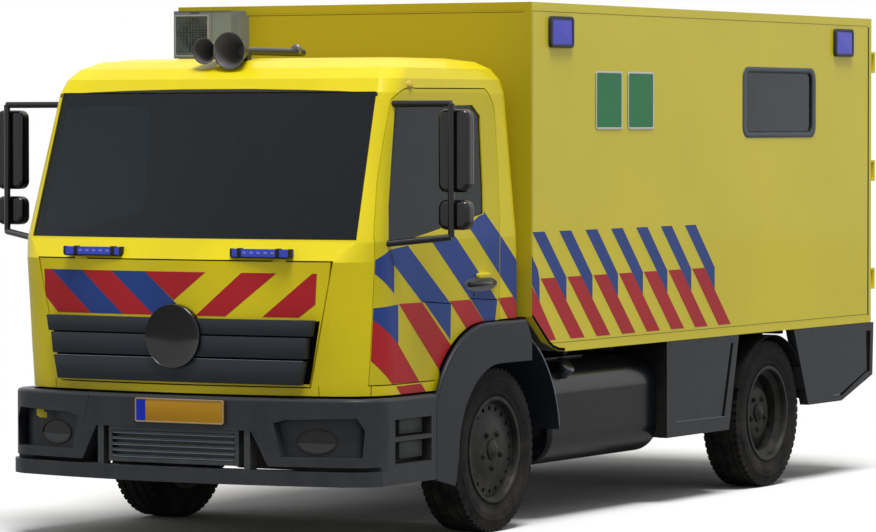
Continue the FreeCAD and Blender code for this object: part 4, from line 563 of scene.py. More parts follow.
def foil(node_name, side, stripe, beyond, lift=0.0009):
    """Part of a node's skin that lies beyond a distance, cut to a convex stripe of (along, height)."""
    facing, across = OUTWARDS[side]
    skin = bmesh.new()
    skin.from_mesh(nodes[node_name].data)
    bmesh.ops.remove_doubles(skin, verts=skin.verts, dist=1e-5)
    lost = [face for face in skin.faces
        if face.normal.dot(facing) < LEAST_FACING or face.calc_center_median().dot(facing) < beyond]
    bmesh.ops.delete(skin, geom=lost, context="FACES")
    corners = [at(0, a, z) if across else at(a, 0, z) for a, z in stripe]
    middle = sum(corners, Vector()) / len(corners)
    for first, second in zip(corners, corners[1:] + corners[:1]):
        outward = (second - first).cross(facing).normalized()
        if outward.dot(middle - first) > 0:
            outward.negate()
        geometry = skin.verts[:] + skin.edges[:] + skin.faces[:]
        bmesh.ops.bisect_plane(skin, geom=geometry, dist=1e-6, plane_co=first, plane_no=outward, clear_outer=True)
    skin.normal_update()
    for vert, normal in [(vert, vert.normal.copy()) for vert in skin.verts]:
        vert.co += normal * lift
    return skin


def foil_piece(name, node_name, side, stripes, beyond, *dress):
    """Piece of several stripes on one node; dress is its finish, its body and a slot that is not used."""
    make_piece(name, [foil(node_name, side, stripe, beyond) for stripe in stripes], *dress)


print("foils can lie on", list(OUTWARDS))

# %% [markdown]
# The print film itself has a soft gloss and sun-faded colour, and road dust lies on it as on the paint.

# %% Foil finishes
for name, colour in (("foil_blue", (44, 74, 148)), ("foil_red", (192, 40, 48))):
    finish(name, colour, 0.4, shine=0.2, clouds_by=0.08, dust=0.1, grain_scale=90, grain_by=0.04)
print("two foil colours")

# %% [markdown]
# On the box one stripe repeats every 328 mm. A blue bar leans back from the top line and is cut off
# upright, and a red bar goes on in the same lean to the lower line. Both are written once, measured
# from that upright cut, and the loop walks it along the wall. The first pair is cut by the box's edge.

# %% Box stripes
STRIPE_PITCH = 0.328
FIRST_CUT = 0.786
BLUE_BAR = [(-0.418, 1.684), (-0.268, 1.684), (0.0, 1.415), (0.0, 1.280)]
RED_BAR = [(-0.316, 1.417), (-0.143, 1.417), (0.229, 1.058), (0.055, 1.058)]
EDGE_BLUE = [(0.362, 1.548), (0.435, 1.470), (0.456, 1.415), (0.456, 1.283), (0.362, 1.388)]
EDGE_RED = [(0.362, 1.388), (0.456, 1.283), (0.668, 1.070), (0.668, 1.058), (0.551, 1.058), (0.362, 1.201)]


def bars(bar, first, last):
    return [[(FIRST_CUT + index * STRIPE_PITCH + a, z) for a, z in bar] for index in range(first, last + 1)]


for side in ("left", "right"):
    wall = "box_side_" + side
    for colour, stripes in (("foil_blue", bars(BLUE_BAR, 0, 6) + [EDGE_BLUE]),
                            ("foil_red", bars(RED_BAR, 0, 6) + [EDGE_RED])):
        foil_piece(f"{wall}_{colour}", wall, side, stripes, WALL_BEYOND, colour, "chassis", "box_yellow")
print("box stripes on both walls")

# %% [markdown]
# The cab's side carries the same idea in bigger bars that run over the door, the shell and the sill.
# The same corners are used on the door and on the shell behind it, and each gets the part that lies on
# it, so the pattern meets at the gap and still parts when the door swings open.

# %% Cab side stripes
CAB_BLUE = [[(-1.310, 1.568), (-1.180, 1.622), (-1.137, 1.546), (-1.137, 1.383), (-1.310, 1.498)],
    [(-1.180, 1.622), (-0.988, 1.640), (-0.506, 1.305), (-0.830, 1.325), (-1.148, 1.546)],
    [(-0.728, 1.660), (-0.486, 1.700), (0.029, 1.307), (-0.287, 1.326)],
    [(-0.300, 1.730), (-0.113, 1.812), (0.330, 1.470), (0.330, 1.321), (0.219, 1.321)],
    [(0.219, 1.325), (0.330, 1.325), (0.330, 1.180)], [(-0.812, 1.330), (-0.506, 1.310), (-0.514, 1.107)],
    [(-0.287, 1.330), (0.029, 1.312), (0.003, 1.196), (-0.126, 1.197)],
    [(-1.310, 1.309), (-1.132, 1.321), (-1.093, 1.322), (-1.093, 1.107), (-1.310, 1.248)]]
CAB_RED = [[(-1.085, 1.326), (-0.830, 1.325), (-0.465, 1.043), (-0.598, 0.908)],
    [(-0.522, 1.322), (-0.287, 1.322), (-0.127, 1.193), (-0.305, 1.139)],
    [(0.029, 1.319), (0.219, 1.321), (0.343, 1.160), (0.158, 1.198)],
    [(-1.310, 1.248), (-1.093, 1.107), (-0.861, 0.893), (-1.158, 0.896), (-1.310, 1.029)],
    [(-1.118, 0.880), (-0.845, 0.882), (-0.779, 0.828), (-1.054, 0.827)]]
for side in ("left", "right"):
    for colour, stripes in (("foil_blue", CAB_BLUE), ("foil_red", CAB_RED)):
        door = "cab_door_" + side
        foil_piece(f"{door}_{colour}", door, side, stripes, DOOR_BEYOND, colour, door, "body_yellow")
        foil_piece(f"cab_{side}_{colour}", "cab_shell", side, stripes, SHELL_BEYOND, colour, "chassis",
            "body_yellow")
print("cab stripes on both sides")

# %% [markdown]
# The front flap has red and blue bars that lean to the middle from one side, and red bars on the bare
# yellow from the other. Their lower corners are cut along the flap's own edge.

# %% Flap stripes
TOP, LOW = 1.496, 1.258
LEAN = 0.283
FLAP_RED = [[(-0.909, TOP), (-0.855, TOP), (-0.855 + LEAN, LOW), (-0.817, LOW), (-0.909, 1.349)],
    [(-0.633, TOP), (-0.426, TOP), (-0.426 + LEAN, LOW), (-0.633 + LEAN, LOW)],
    [(-0.199, TOP), (0.195, TOP), (-0.010, 1.340)], [(0.416, TOP), (0.627, TOP), (0.316, LOW), (0.128, LOW)],
    [(0.835, TOP), (0.862, TOP), (0.848, 1.329), (0.751, LOW), (0.538, LOW)]]
FLAP_BLUE = [[(-0.855, TOP), (-0.633, TOP), (-0.633 + LEAN, LOW), (-0.855 + LEAN, LOW)],
    [(-0.426, TOP), (-0.199, TOP), (-0.199 + LEAN, LOW), (-0.426 + LEAN, LOW)]]
for colour, stripes in (("foil_blue", FLAP_BLUE), ("foil_red", FLAP_RED)):
    foil_piece("front_flap_" + colour, "front_flap", "front", stripes, FLAP_BEYOND, colour, "flap", "body_yellow")
print("flap stripes")

# %% [markdown]
# Two blank green signs with a pale border sit high on the box wall. A sign is a thin plate with round
# corners, and its border is a raised ring, so that both catch the light as real pressed plates do.

# %% Blank signs
finish("sign_green", (46, 134, 84), 0.4, clouds_by=0.05, dust=0.0, shine=0.2)
finish("sign_pale", (214, 218, 206), 0.35, coat=0.3, clouds_by=0.04, dust=0.0)
SIGN_Z = (2.267, 2.609)
BOX_SIDE_X = 1.190
for number, (start, end) in enumerate(((1.152, 1.494), (1.565, 1.910)), 1):
    edge = round_rectangle(start, SIGN_Z[0], end, SIGN_Z[1], 0.022)
    inner = round_rectangle(start + 0.012, SIGN_Z[0] + 0.012, end - 0.012, SIGN_Z[1] - 0.012, 0.012)
    make_piece(f"sign_{number}_plate", outline_prism(edge, "X", BOX_SIDE_X, BOX_SIDE_X + 0.003), "sign_green",
        "chassis", "box_yellow")
    make_piece(f"sign_{number}_border", frame_ring(edge, inner, "X", BOX_SIDE_X, BOX_SIDE_X + 0.0042, 0.0008),
        "sign_pale", "chassis", "box_yellow")
print("two blank signs")

# %% [markdown]
# Nuts, tread blocks, bolts, mesh wires and vents all repeat. Two kinds of Geometry Nodes tree make them:
# one puts a small solid at even steps round a circle, the other along a straight line. Each ends in real
# mesh with its material set, and a helper reads the result off and throws the modifier away.

# %% Geometry Nodes: ring and row
def new_solids_tree(name, inputs):
    """Geometry tree with counts, sizes and places as inputs, and a material."""
    kinds = {int: "NodeSocketInt", float: "NodeSocketFloat", tuple: "NodeSocketVector"}
    sockets = [(label, kinds[type(value)], value) for label, value in inputs.items()]
    return new_group(name, sockets + [("Material", "NodeSocketMaterial", None)], [("Geometry", "NodeSocketGeometry")],
        "GeometryNodeTree")


def close_tree(tree, given, result, instances):
    """Ends a tree in Realize Instances and Set Material."""
    real = add(tree, "GeometryNodeRealizeInstances", {"Geometry": instances})
    painted = add(tree, "GeometryNodeSetMaterial", {"Geometry": real, "Material": given["Material"]})
    feed(tree, result, {"Geometry": painted})


def new_ring_tree(name, inputs, solid_kind, solid_inputs, facing_out=False):
    """Tree that puts a solid at even steps round a circle about a cross axis of the vehicle."""
    tree, given, result = new_solids_tree(name, {"Count": 5, "Ring Radius": 0.1, **inputs, "Centre": (0.0, 0.0, 0.0)})
    circle = add(tree, "GeometryNodeMeshCircle", {"Vertices": given["Count"], "Radius": given["Ring Radius"]})
    solid = add(tree, solid_kind, {socket: given[label] for socket, label in solid_inputs.items()})
    links = {"Points": circle, "Instance": solid}
    if facing_out:
        outward = add(tree, "GeometryNodeInputPosition")
        links["Rotation"] = add(tree, "FunctionNodeAlignEulerToVector", {"Vector": outward}, axis="X", pivot_axis="Z")
    placed = add(tree, "GeometryNodeInstanceOnPoints", links)
    turned = add(tree, "GeometryNodeTransform", {"Geometry": placed, "Rotation": (0, math.pi / 2, 0),
        "Translation": given["Centre"]})
    close_tree(tree, given, result, turned)
    return tree


ring_tree = new_ring_tree("ring_of_solids", {"Sides": 6, "Solid Radius": 0.01, "Depth": 0.02},
    "GeometryNodeMeshCylinder", {"Vertices": "Sides", "Depth": "Depth", "Radius": "Solid Radius"})
row_tree, given, result = new_solids_tree("row_of_blocks", {"Count": 5, "First": (0.0, 0.0, 0.0),
    "Last": (0.0, 1.0, 0.0), "Block": (0.01, 0.01, 0.01)})
line = add(row_tree, "GeometryNodeMeshLine", {"Count": given["Count"], "Start Location": given["First"],
    "Offset": given["Last"]}, mode="END_POINTS")
block = add(row_tree, "GeometryNodeMeshCube", {"Size": given["Block"]})
placed = add(row_tree, "GeometryNodeInstanceOnPoints", {"Points": line, "Instance": block})
close_tree(row_tree, given, result, placed)


def grow(tree, finish_name, **sizes):
    """Runs a tree with its inputs set by identifier, and returns the result as a bmesh."""
    carrier = bpy.data.objects.new("carrier", bpy.data.meshes.new("carrier"))
    scene.collection.objects.link(carrier)
    modifier = carrier.modifiers.new("grow", "NODES")
    modifier.node_group = tree
    sockets = {item.name: item.identifier for item in tree.interface.items_tree if item.in_out == "INPUT"}
    for name, value in sizes.items():
        modifier[sockets[name.replace("_", " ")]] = value
    modifier[sockets["Material"]] = finishes[finish_name]
    carrier.update_tag()
    graph = bpy.context.evaluated_depsgraph_get()
    mesh = bpy.data.meshes.new_from_object(carrier.evaluated_get(graph))
    shape = bmesh.new()
    shape.from_mesh(mesh)
    bpy.data.objects.remove(carrier)
    bpy.data.meshes.remove(mesh)
    return shape


def row(finish_name, count, first, last, block):
    """Row of equal blocks between two points given from the axle."""
    return grow(row_tree, finish_name, Count=count, First=at(*first), Last=at(*last), Block=Vector(block))


print("trees", ring_tree.name, row_tree.name)

# %% [markdown]
# A steel truck wheel is a rolled band with a pressed disc welded in. Twenty round holes near the disc's
# edge let the brakes breathe, and five nuts hold it to the hub. The band and the middle are turned
# profiles. The ring with holes can't be turned, so it is laid out in twenty equal sectors, each a patch
# of faces that runs from the sector's border to its hole, with the hole's wall behind it.

# %% Wheel dimensions
WHEELS = {"front_left": 1, "front_right": -1, "rear_left": 1, "rear_right": -1}
FACE_X = 1.154
SEAT_R, FLANGE_R, WELL_R = 0.286, 0.300, 0.252
HOLE_COUNT, HOLE_RING_R, HOLE_R, HOLE_BAND, HOLE_POINTS, HOLE_WALL = 20, 0.235, 0.0138, 0.027, 16, 0.010
NUT_COUNT, NUT_RING_R = 5, 0.105


def wheel_centre(place):
    low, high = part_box("tyre_" + place)
    return Vector((0, (low.y + high.y) / 2, AXLE_Z))


print("wheelbase", round(wheel_centre("rear_left").y - wheel_centre("front_left").y, 3))

# %% Wheel disc with its holes
def holed_ring(centre, sign, edge_x, slope):
    """Ring of the disc between its middle and its edge; x falls by slope towards the edge."""
    shape = bmesh.new()
    half_turn = math.pi / HOLE_COUNT
    half_width = HOLE_RING_R * half_turn

    def on_disc(u, v, sector, deeper=0.0):
        radius = HOLE_RING_R + u
        turn = sector * 2 * half_turn + v / HOLE_RING_R
        x = edge_x + (HOLE_BAND - u) * slope - deeper
        return shape.verts.new((sign * x, centre.y + radius * math.cos(turn), centre.z + radius * math.sin(turn)))

    for sector in range(HOLE_COUNT):
        rim, hole, deep = [], [], []
        for step in range(HOLE_POINTS):
            turn = turn_at(step + 0.5, HOLE_POINTS)
            c, s = math.cos(turn), math.sin(turn)
            reach = min(HOLE_BAND / max(abs(c), 1e-6), half_width / max(abs(s), 1e-6))
            rim.append(on_disc(reach * c, reach * s, sector))
            hole.append(on_disc(HOLE_R * c, HOLE_R * s, sector))
            deep.append(on_disc(HOLE_R * c, HOLE_R * s, sector, HOLE_WALL))
        corners = [on_disc(u * HOLE_BAND, v * half_width, sector) for u, v in ((1, 1), (-1, 1), (-1, -1), (1, -1))]
        for step in range(HOLE_POINTS):
            after = (step + 1) % HOLE_POINTS
            shape.faces.new((rim[step], rim[after], hole[after], hole[step]))
            shape.faces.new((hole[step], hole[after], deep[after], deep[step]))
            if (step + 1) % (HOLE_POINTS // 4) == HOLE_POINTS // 8:
                shape.faces.new((rim[step], corners[(step + 1) // (HOLE_POINTS // 4)], rim[after]))
    bmesh.ops.remove_doubles(shape, verts=shape.verts, dist=1e-5)
    shape.normal_update()
    for face in shape.faces:
        if face.normal.x * sign < -0.7:
            face.normal_flip()
    return shape


print("holes", round(2 * HOLE_RING_R * math.sin(math.pi / HOLE_COUNT), 3), "m apart")

# %% [markdown]
# The band has a deep middle, over which a tyre's beads slip on when it is mounted. A front disc lies
# nearly flush with the tyre and a rear one further in, so the outlines are measured from the disc's face.

# %% Wheel outlines, hub and nuts
def wheel_shapes(place):
    """Band, disc, cap and nuts of one wheel."""
    sign = WHEELS[place]
    front = place.startswith("front")
    centre = wheel_centre(place)
    face = FACE_X - (0.026 if front else 0.078)
    edge_x = face - (0.018 if front else 0.050)
    outer, inner = FACE_X - 0.022, FACE_X - 0.233
    band = [(outer + 0.017, FLANGE_R), (outer + 0.018, FLANGE_R - 0.004), (outer + 0.016, SEAT_R - 0.006),
        (outer + 0.006, SEAT_R - 0.010), (outer - 0.022, SEAT_R - 0.011), (outer - 0.034, WELL_R + 0.008),
        (outer - 0.046, WELL_R - 0.009), (inner + 0.046, WELL_R - 0.009), (inner + 0.022, SEAT_R - 0.010),
        (inner - 0.017, SEAT_R - 0.010), (inner - 0.018, FLANGE_R - 0.001), (inner - 0.010, FLANGE_R - 0.001),
        (inner - 0.008, SEAT_R), (inner + 0.022, SEAT_R - 0.003), (inner + 0.046, WELL_R), (outer - 0.046, WELL_R),
        (outer - 0.022, SEAT_R - 0.003), (outer + 0.006, SEAT_R), (outer + 0.009, FLANGE_R)]
    ring_in, ring_out = HOLE_RING_R - HOLE_BAND, HOLE_RING_R + HOLE_BAND
    slope = 0.10
    top = edge_x + 2 * HOLE_BAND * slope
    disc = [(face - 0.004, 0.056), (face, 0.060), (face, 0.150), (face - 0.004, 0.160), (top, ring_in),
        (top - 0.010, ring_in), (face - 0.014, 0.158), (face - 0.014, 0.056)]
    rolled = [(edge_x, ring_out), (edge_x + 0.002, WELL_R - 0.001), (edge_x - 0.012, WELL_R - 0.001),
        (edge_x - 0.012, ring_out)]
    if front:
        rolled[1:3] = [(edge_x - 0.003, ring_out + 0.012), (edge_x - 0.004, SEAT_R - 0.009),
            (edge_x - 0.014, SEAT_R - 0.009)]
    hub = [(face + 0.030, 0.0), (face + 0.029, 0.022), (face + 0.022, 0.036), (face + 0.014, 0.044),
        (face + 0.010, 0.056), (face - 0.010, 0.058), (face - 0.010, 0.0)]
    drum = [(inner + 0.030, 0.205), (inner + 0.118, 0.205), (inner + 0.124, 0.19), (inner + 0.124, 0.09),
        (face - 0.014, 0.088), (face - 0.014, 0.06), (inner + 0.030, 0.06)]
    shapes = []
    for profile in (band, disc, rolled, hub, drum):
        shapes.append(spin_profile([(sign * along, radius) for along, radius in profile], centre, ACROSS, 60))
    shapes.append(holed_ring(centre, sign, edge_x, slope))
    nut_x = sign * (face + 0.008)
    # Nut, washer and stud, each with its radius, depth and number of sides.
    for radius, depth, sides in ((0.0135, 0.014, 6), (0.017, 0.006, 20), (0.006, 0.024, 10)):
        shapes.append(grow(ring_tree, "wheel_grey", Count=NUT_COUNT, Ring_Radius=NUT_RING_R, Sides=sides,
            Solid_Radius=radius, Depth=depth, Centre=Vector((nut_x, centre.y, centre.z))))
    return shapes


for place in WHEELS:
    rim = make_piece("wheel_rim_" + place, wheel_shapes(place), "wheel_grey", "wheel_" + place, "wheel_grey")
    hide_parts("rim_" + place)
print("four wheels with", HOLE_COUNT, "holes each")

# %% [markdown]
# The tyre is one turned profile: beads, a side wall with moulded rings, round shoulders and a tread
# parted by three straight grooves. Round the shoulders run blocks, which have to face out from the
# axle, so a second ring tree turns each block by its place on the circle.

# %% Tyre
lug_tree = new_ring_tree("tread_blocks", {"Block": (0.03, 0.03, 0.01)}, "GeometryNodeMeshCube", {"Size": "Block"},
    facing_out=True)
TYRE_MIDDLE_X = FACE_X - 0.1275

# Half of the profile, from the bead to the middle of the tread; the other half is its mirror image.
HALF_TYRE = [(0.1055, 0.287), (0.112, 0.292), (0.1135, 0.302), (0.119, 0.318), (0.1205, 0.3195), (0.1205, 0.323),
    (0.124, 0.345), (0.1255, 0.348), (0.1255, 0.356), (0.1265, 0.358), (0.1275, 0.376), (0.1260, 0.392),
    (0.1272, 0.3945), (0.1272, 0.398), (0.1255, 0.400), (0.1235, 0.416), (0.119, 0.434), (0.1165, 0.446),
    (0.1155, 0.4525), (0.084, 0.4545), (0.083, 0.4625), (0.0665, 0.4640), (0.0655, 0.4530), (0.0575, 0.4530),
    (0.0565, 0.4646), (0.0045, 0.4650), (0.0035, 0.4535)]
TYRE_PROFILE = HALF_TYRE + [(-along, radius) for along, radius in reversed(HALF_TYRE)]
for place, sign in WHEELS.items():
    centre = wheel_centre(place) + Vector((sign * TYRE_MIDDLE_X, 0, 0))
    shapes = [spin_profile(TYRE_PROFILE, centre, ACROSS, 96)]
    for offset in (-0.099, 0.099):
        shapes.append(grow(lug_tree, "tyre_black", Count=60, Ring_Radius=0.4525, Block=Vector((0.018, 0.031, 0.034)),
            Centre=centre + Vector((offset, 0, 0))))
    tyre = make_piece("tyre_dressed_" + place, shapes, "tyre_black", "wheel_" + place, "tyre_black")
    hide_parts("tyre_" + place)
    print("tyre", place, len(tyre.data.polygons), "faces")

# %% [markdown]
# Thin joints run round the box where its panels are pressed together, and a wide black gap closes the
# corner post at the back. A joint is laid on as a narrow dark strip. Strips are all boxes, so the row
# tree makes them too, one block long.

# %% Box joints and corner gap
def strip(first, last, thick):
    """Block between two corners given from the axle."""
    middle = (at(*first) + at(*last)) / 2
    size = [abs(end - start) + more for start, end, more in zip(at(*first), at(*last), thick)]
    return grow(row_tree, "trim_dark", Count=1, First=middle, Last=middle, Block=Vector(size))


BOX_FRONT_Y, JOINT_END_Y, UPPER_JOINT_Z, LOWER_JOINT_Z = 0.361, 5.070, 2.943, 1.041
joints, gaps = [], []
for x in (BOX_SIDE_X, -BOX_SIDE_X):
    joints.append(strip((x, BOX_FRONT_Y + 0.002, UPPER_JOINT_Z), (x, JOINT_END_Y, UPPER_JOINT_Z),
        (0.0014, 0, 0.0022)))
    joints.append(strip((x, 0.590, LOWER_JOINT_Z), (x, JOINT_END_Y, LOWER_JOINT_Z), (0.0014, 0, 0.0022)))
    joints.append(strip((x, BOX_FRONT_Y + 0.012, 1.22), (x, BOX_FRONT_Y + 0.012, 2.94), (0.0014, 0.0018, 0)))
    gaps.append(strip((x, 5.076, 1.035), (x, 5.092, 2.938), (0.003, 0, 0)))
joints.append(strip((-1.15, BOX_FRONT_Y, 2.937), (1.15, BOX_FRONT_Y, 2.937), (0, 0.0014, 0.0022)))
make_piece("box_joints", joints, "frame_black")
make_piece("box_corner_gaps", gaps, "frame_black")
print("box joints")

# %% [markdown]
# The blue lamps at the box's corners sit in dark rubber bezels, and their lenses are pressed into a low
# pyramid. The lens is built as four slopes that meet in the middle, a few millimetres high.

# %% Corner lamp bezels and lenses
finish("lens_blue_bright", (66, 70, 226), 0.3, coat=0.15, dust=0.0, clouds_by=0.04, shine=0.3)
finish("bezel", (44, 52, 64), 0.5, grain_scale=300, grain_by=0.15, dust=0.05, shine=0.3)
lamp_low, lamp_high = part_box("blue_lamps")
LAMP_FACE_X = lamp_high.x
LENS_LOW_Z, LENS_HIGH_Z, LENS_INSET = 2.758, 2.899, 0.020


def pyramid(outline, x, height):
    """Shallow pyramid over an outline on the box's side."""
    shape = bmesh.new()
    base = [shape.verts.new(at(x, a, b)) for a, b in outline]
    middle_a = sum(a for a, _ in outline) / len(outline)
    middle_b = sum(b for _, b in outline) / len(outline)
    top = shape.verts.new(at(x + height, middle_a, middle_b))
    for index, vert in enumerate(base):
        shape.faces.new((vert, base[(index + 1) % len(base)], top))
    return shape


bezels, lenses = [], []
for front, rear in ((0.566, 0.843), (4.524, 4.801)):
    lens = (front + LENS_INSET, LENS_LOW_Z, rear - LENS_INSET, LENS_HIGH_Z)
    outer = round_rectangle(front - 0.004, 2.738, rear + 0.004, 2.918, 0.028)
    inner = round_rectangle(*lens, 0.010)
    bezels += both(frame_ring(outer, inner, "X", BOX_SIDE_X - 0.002, LAMP_FACE_X + 0.003, 0.0015))
    lenses += both(pyramid(rectangle(*lens), LAMP_FACE_X + 0.0004, 0.0022))
make_piece("corner_lamp_bezels", bezels, "bezel")
make_piece("corner_lamp_lenses", lenses, "lens_blue_bright", "chassis", "lens_blue", smooth=1)
print("corner lamps to x", round(LAMP_FACE_X, 4))

# %% [markdown]
# The box window is clamped in a dark frame with round corners, with a black rubber lip round the pane.
# The frame is a flat ring that stands a few millimetres off the wall.

# %% Box window frames
outer = round_rectangle(3.150, 2.213, 4.244, 2.657, 0.075)
inner = round_rectangle(3.203, 2.246, 4.190, 2.628, 0.045)
lip = round_rectangle(3.211, 2.254, 4.182, 2.620, 0.040)
finish("window_frame", (62, 74, 84), 0.42, grain_scale=260, grain_by=0.1, dust=0.08, shine=0.35)
make_piece("box_window_frames", both(frame_ring(outer, inner, "X", BOX_SIDE_X - 0.020, BOX_SIDE_X + 0.004, 0.002)),
    "window_frame")
make_piece("box_window_lips", both(frame_ring(inner, lip, "X", BOX_SIDE_X - 0.020, BOX_SIDE_X + 0.0015, 0.001)),
    "frame_black")
print("box window frames")

# %% [markdown]
# The grille has three dark slats that stand well off the flap, with a bare round dish in the middle. The
# slats bow forward with the flap, so each is lofted through stations along its length. The dish is a
# turned profile: a thin rim and a shallow bowl. Behind the slats lies a near-black sheet on the flap, painted
# shade that makes the narrow gaps look deep, and the lowest slat has a pale upper edge, a painted highlight.

# %% Grille slats and dish
SLATS = [(1.245, 0.858, 1.159, 0.844), (1.151, 0.826, 1.037, 0.814), (1.026, 0.808, 0.895, 0.782)]
GRILLE_FACE_Y, GRILLE_BOW, GRILLE_HALF = -1.524, 0.027, 0.858


def bowed_bar(top, half_top, base, half_base, proud, depth, stations=24):
    """Bar across the flap that bows forward in the middle; proud moves its face out."""
    shape = bmesh.new()
    rings = []
    for station in range(stations + 1):
        share = 2 * station / stations - 1
        bow = GRILLE_BOW * (1 - (share * half_top / GRILLE_HALF) ** 2)
        face = GRILLE_FACE_Y - bow - proud
        corners = ((half_base, base, 0), (half_top, top, 0), (half_top, top, depth), (half_base, base, depth))
        rings.append([shape.verts.new(at(share * half, face + back, z)) for half, z, back in corners])
    bridge(shape, rings, False)
    return rounded(shape, min(0.003, (top - base) / 4))


finish("slat", (40, 46, 52), 0.4, grain_scale=300, grain_by=0.1, dust=0.06, shine=0.25)
grille = make_piece("grille_slats", [bowed_bar(*slat, 0.0, 0.050) for slat in SLATS], "slat", "flap")
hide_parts("grille")
# A pale strip on the lowest slat's top edge: a painted highlight.
make_piece("grille_edge_highlight", bowed_bar(1.0265, 0.806, 1.0235, 0.806, 0.0008, 0.004), "fin_highlight", "flap")
dish_centre = at(0.0, GRILLE_FACE_Y - GRILLE_BOW - 0.006, 1.145)
profile = [(0.004, 0.0), (0.0035, 0.040), (0.002, 0.080), (-0.002, 0.120), (-0.007, 0.150), (-0.0115, 0.166),
    (-0.0135, 0.1705), (-0.0140, 0.1725), (-0.012, 0.1745), (0.000, 0.176), (0.052, 0.176), (0.052, 0.0)]
dish = spin_profile(profile, dish_centre, ALONG, 72)
finish("dish_black", (12, 13, 15), 0.12, coat=0.2, dust=0.0, shine=0.35)
make_piece("grille_dish", dish, "dish_black", "flap")
rim = spin_profile([(-0.0142, 0.1710), (-0.0154, 0.1722), (-0.0142, 0.1734), (-0.0130, 0.1722)],
    dish_centre, ALONG, 72)
finish("bright_metal", (70, 72, 78), 0.25, metallic=1.0, dust=0.0, clouds_by=0.05)
make_piece("grille_dish_rim", rim, "bright_metal", "flap")
# A near-black sheet cut from the flap's skin behind the slats: painted shade in the gaps and round the ends.
gap_shade = foil("front_flap", "front", [(-0.870, 1.240), (0.870, 1.240), (0.806, 0.898), (-0.806, 0.898)], 3.10)
make_piece("grille_gap_shade", gap_shade, "deep_shade_black", "flap")
print("grille with", len(SLATS), "slats")

# %% [markdown]
# Each blue light bar on the front has two dark clamps, dark ends and a dark foot, and its lens shows a
# row of small bright cells. The cells are one row of small blocks from the row tree.

# %% Light bar clamps and cells
clamps = []
BAR_FRONT_Y, BAR_INNER_X, BAR_OUTER_X = lamp_low.y - AXLE_Y, 0.358, 0.726
for share in (0.14, 0.80):
    x = BAR_INNER_X + share * (BAR_OUTER_X - BAR_INNER_X)
    clamps += both(plate(BAR_FRONT_Y - 0.003, 1.580, BAR_FRONT_Y + 0.030, 1.630, 0.006, "X", x - 0.012, x + 0.012,
        0.001))
for end in (BAR_INNER_X, BAR_OUTER_X):
    clamps += both(plate(BAR_FRONT_Y - 0.002, 1.582, BAR_FRONT_Y + 0.030, 1.628, 0.006, "X", end - 0.006, end + 0.006,
        0.001))
clamps += both(plate(BAR_FRONT_Y + 0.001, 1.576, BAR_FRONT_Y + 0.034, 1.585, 0, "X", BAR_INNER_X, BAR_OUTER_X))
cells = both(row("lens_blue_bright", 5, (BAR_INNER_X + 0.085, BAR_FRONT_Y, 1.606),
    (BAR_OUTER_X - 0.105, BAR_FRONT_Y, 1.606), (0.022, 0.0016, 0.012)))
finish("lens_cell", (122, 130, 232), 0.3, coat=0.4, dust=0.0)
make_piece("light_bar_clamps", clamps, "frame_black")
make_piece("light_bar_cells", cells, "lens_cell", "chassis", "lens_blue")
print("light bars at y", round(BAR_FRONT_Y, 3))

# %% [markdown]
# The number plate is blank: an amber sheet with a blue band at one end and a raised pale rim. It is
# screwed flat on the middle of the bumper.

# %% Blank number plate
finish("plate_amber", (192, 140, 20), 0.4, coat=0.1, clouds_by=0.04, dust=0.0, shine=0.3)
finish("plate_blue", (22, 48, 186), 0.4, clouds_by=0.04, dust=0.0, shine=0.2)
finish("plate_rim", (176, 150, 110), 0.4, coat=0.2, clouds_by=0.04, dust=0.0)
PLATE_BACK_Y, PLATE_FACE_Y = -1.5955, -1.6035
outer = round_rectangle(-0.219, 0.6745, 0.350, 0.8065, 0.012)
inner = round_rectangle(-0.212, 0.6815, 0.343, 0.7995, 0.008)
make_piece("number_plate", outline_prism(outer, "Y", PLATE_FACE_Y, PLATE_BACK_Y, 0.001), "plate_amber")
make_piece("number_plate_rim", frame_ring(outer, inner, "Y", PLATE_FACE_Y - 0.0025, PLATE_FACE_Y + 0.002, 0.0008),
    "plate_rim")
blue_band = plate(-0.211, 0.6825, -0.152, 0.7985, 0, "Y", PLATE_FACE_Y - 0.0008, PLATE_FACE_Y + 0.001)
make_piece("number_plate_band", blue_band, "plate_blue")
print("blank plate")

# %% [markdown]
# The bumper is in three mouldings, so a thin slanted joint shows on each side of its middle. Its lamp
# bays hold an oval lamp with a dark rim, and a paler lens over the lower half is painted light against the
# shaded upper half. The bays curve round the corner, so the rim and the lens take their depth from a ray
# shot at the lamp. The steps in the bumper's ends are lined with black trays, each with a grey tread block.

# %% Bumper details
BUMPER_FRONT_Y = -1.596
joint = [(0.5235, 0.815), (0.5275, 0.815), (0.6100, 0.488), (0.6060, 0.488)]
make_piece("bumper_joints", both(outline_prism(joint, "Y", BUMPER_FRONT_Y - 0.001, BUMPER_FRONT_Y + 0.001)),
    "frame_black")


def ellipse(centre_x, centre_z, half_x, half_z, steps=40):
    return [(centre_x + half_x * math.cos(turn_at(step, steps)), centre_z + half_z * math.sin(turn_at(step, steps)))
        for step in range(steps)]


def lay_on_lamp(shape):
    """Moves a flat piece's points back to where a ray from the front meets the bumper's lamp."""
    for vert in shape.verts:
        hit, place, _, _ = nodes["bumper_lamps"].ray_cast(Vector((vert.co.x, AXLE_Y - 3, vert.co.z)), ALONG)
        if hit:
            vert.co.y += place.y - AXLE_Y
    return shape


LAMP_X, LAMP_Z = 0.844, 0.589
rim_shape = frame_ring(ellipse(LAMP_X, LAMP_Z, 0.1165, 0.0695), ellipse(LAMP_X, LAMP_Z, 0.106, 0.060), "Y", -0.006,
    0.004, 0.0015)
make_piece("bumper_lamp_rims", both(lay_on_lamp(rim_shape)), "frame_black")
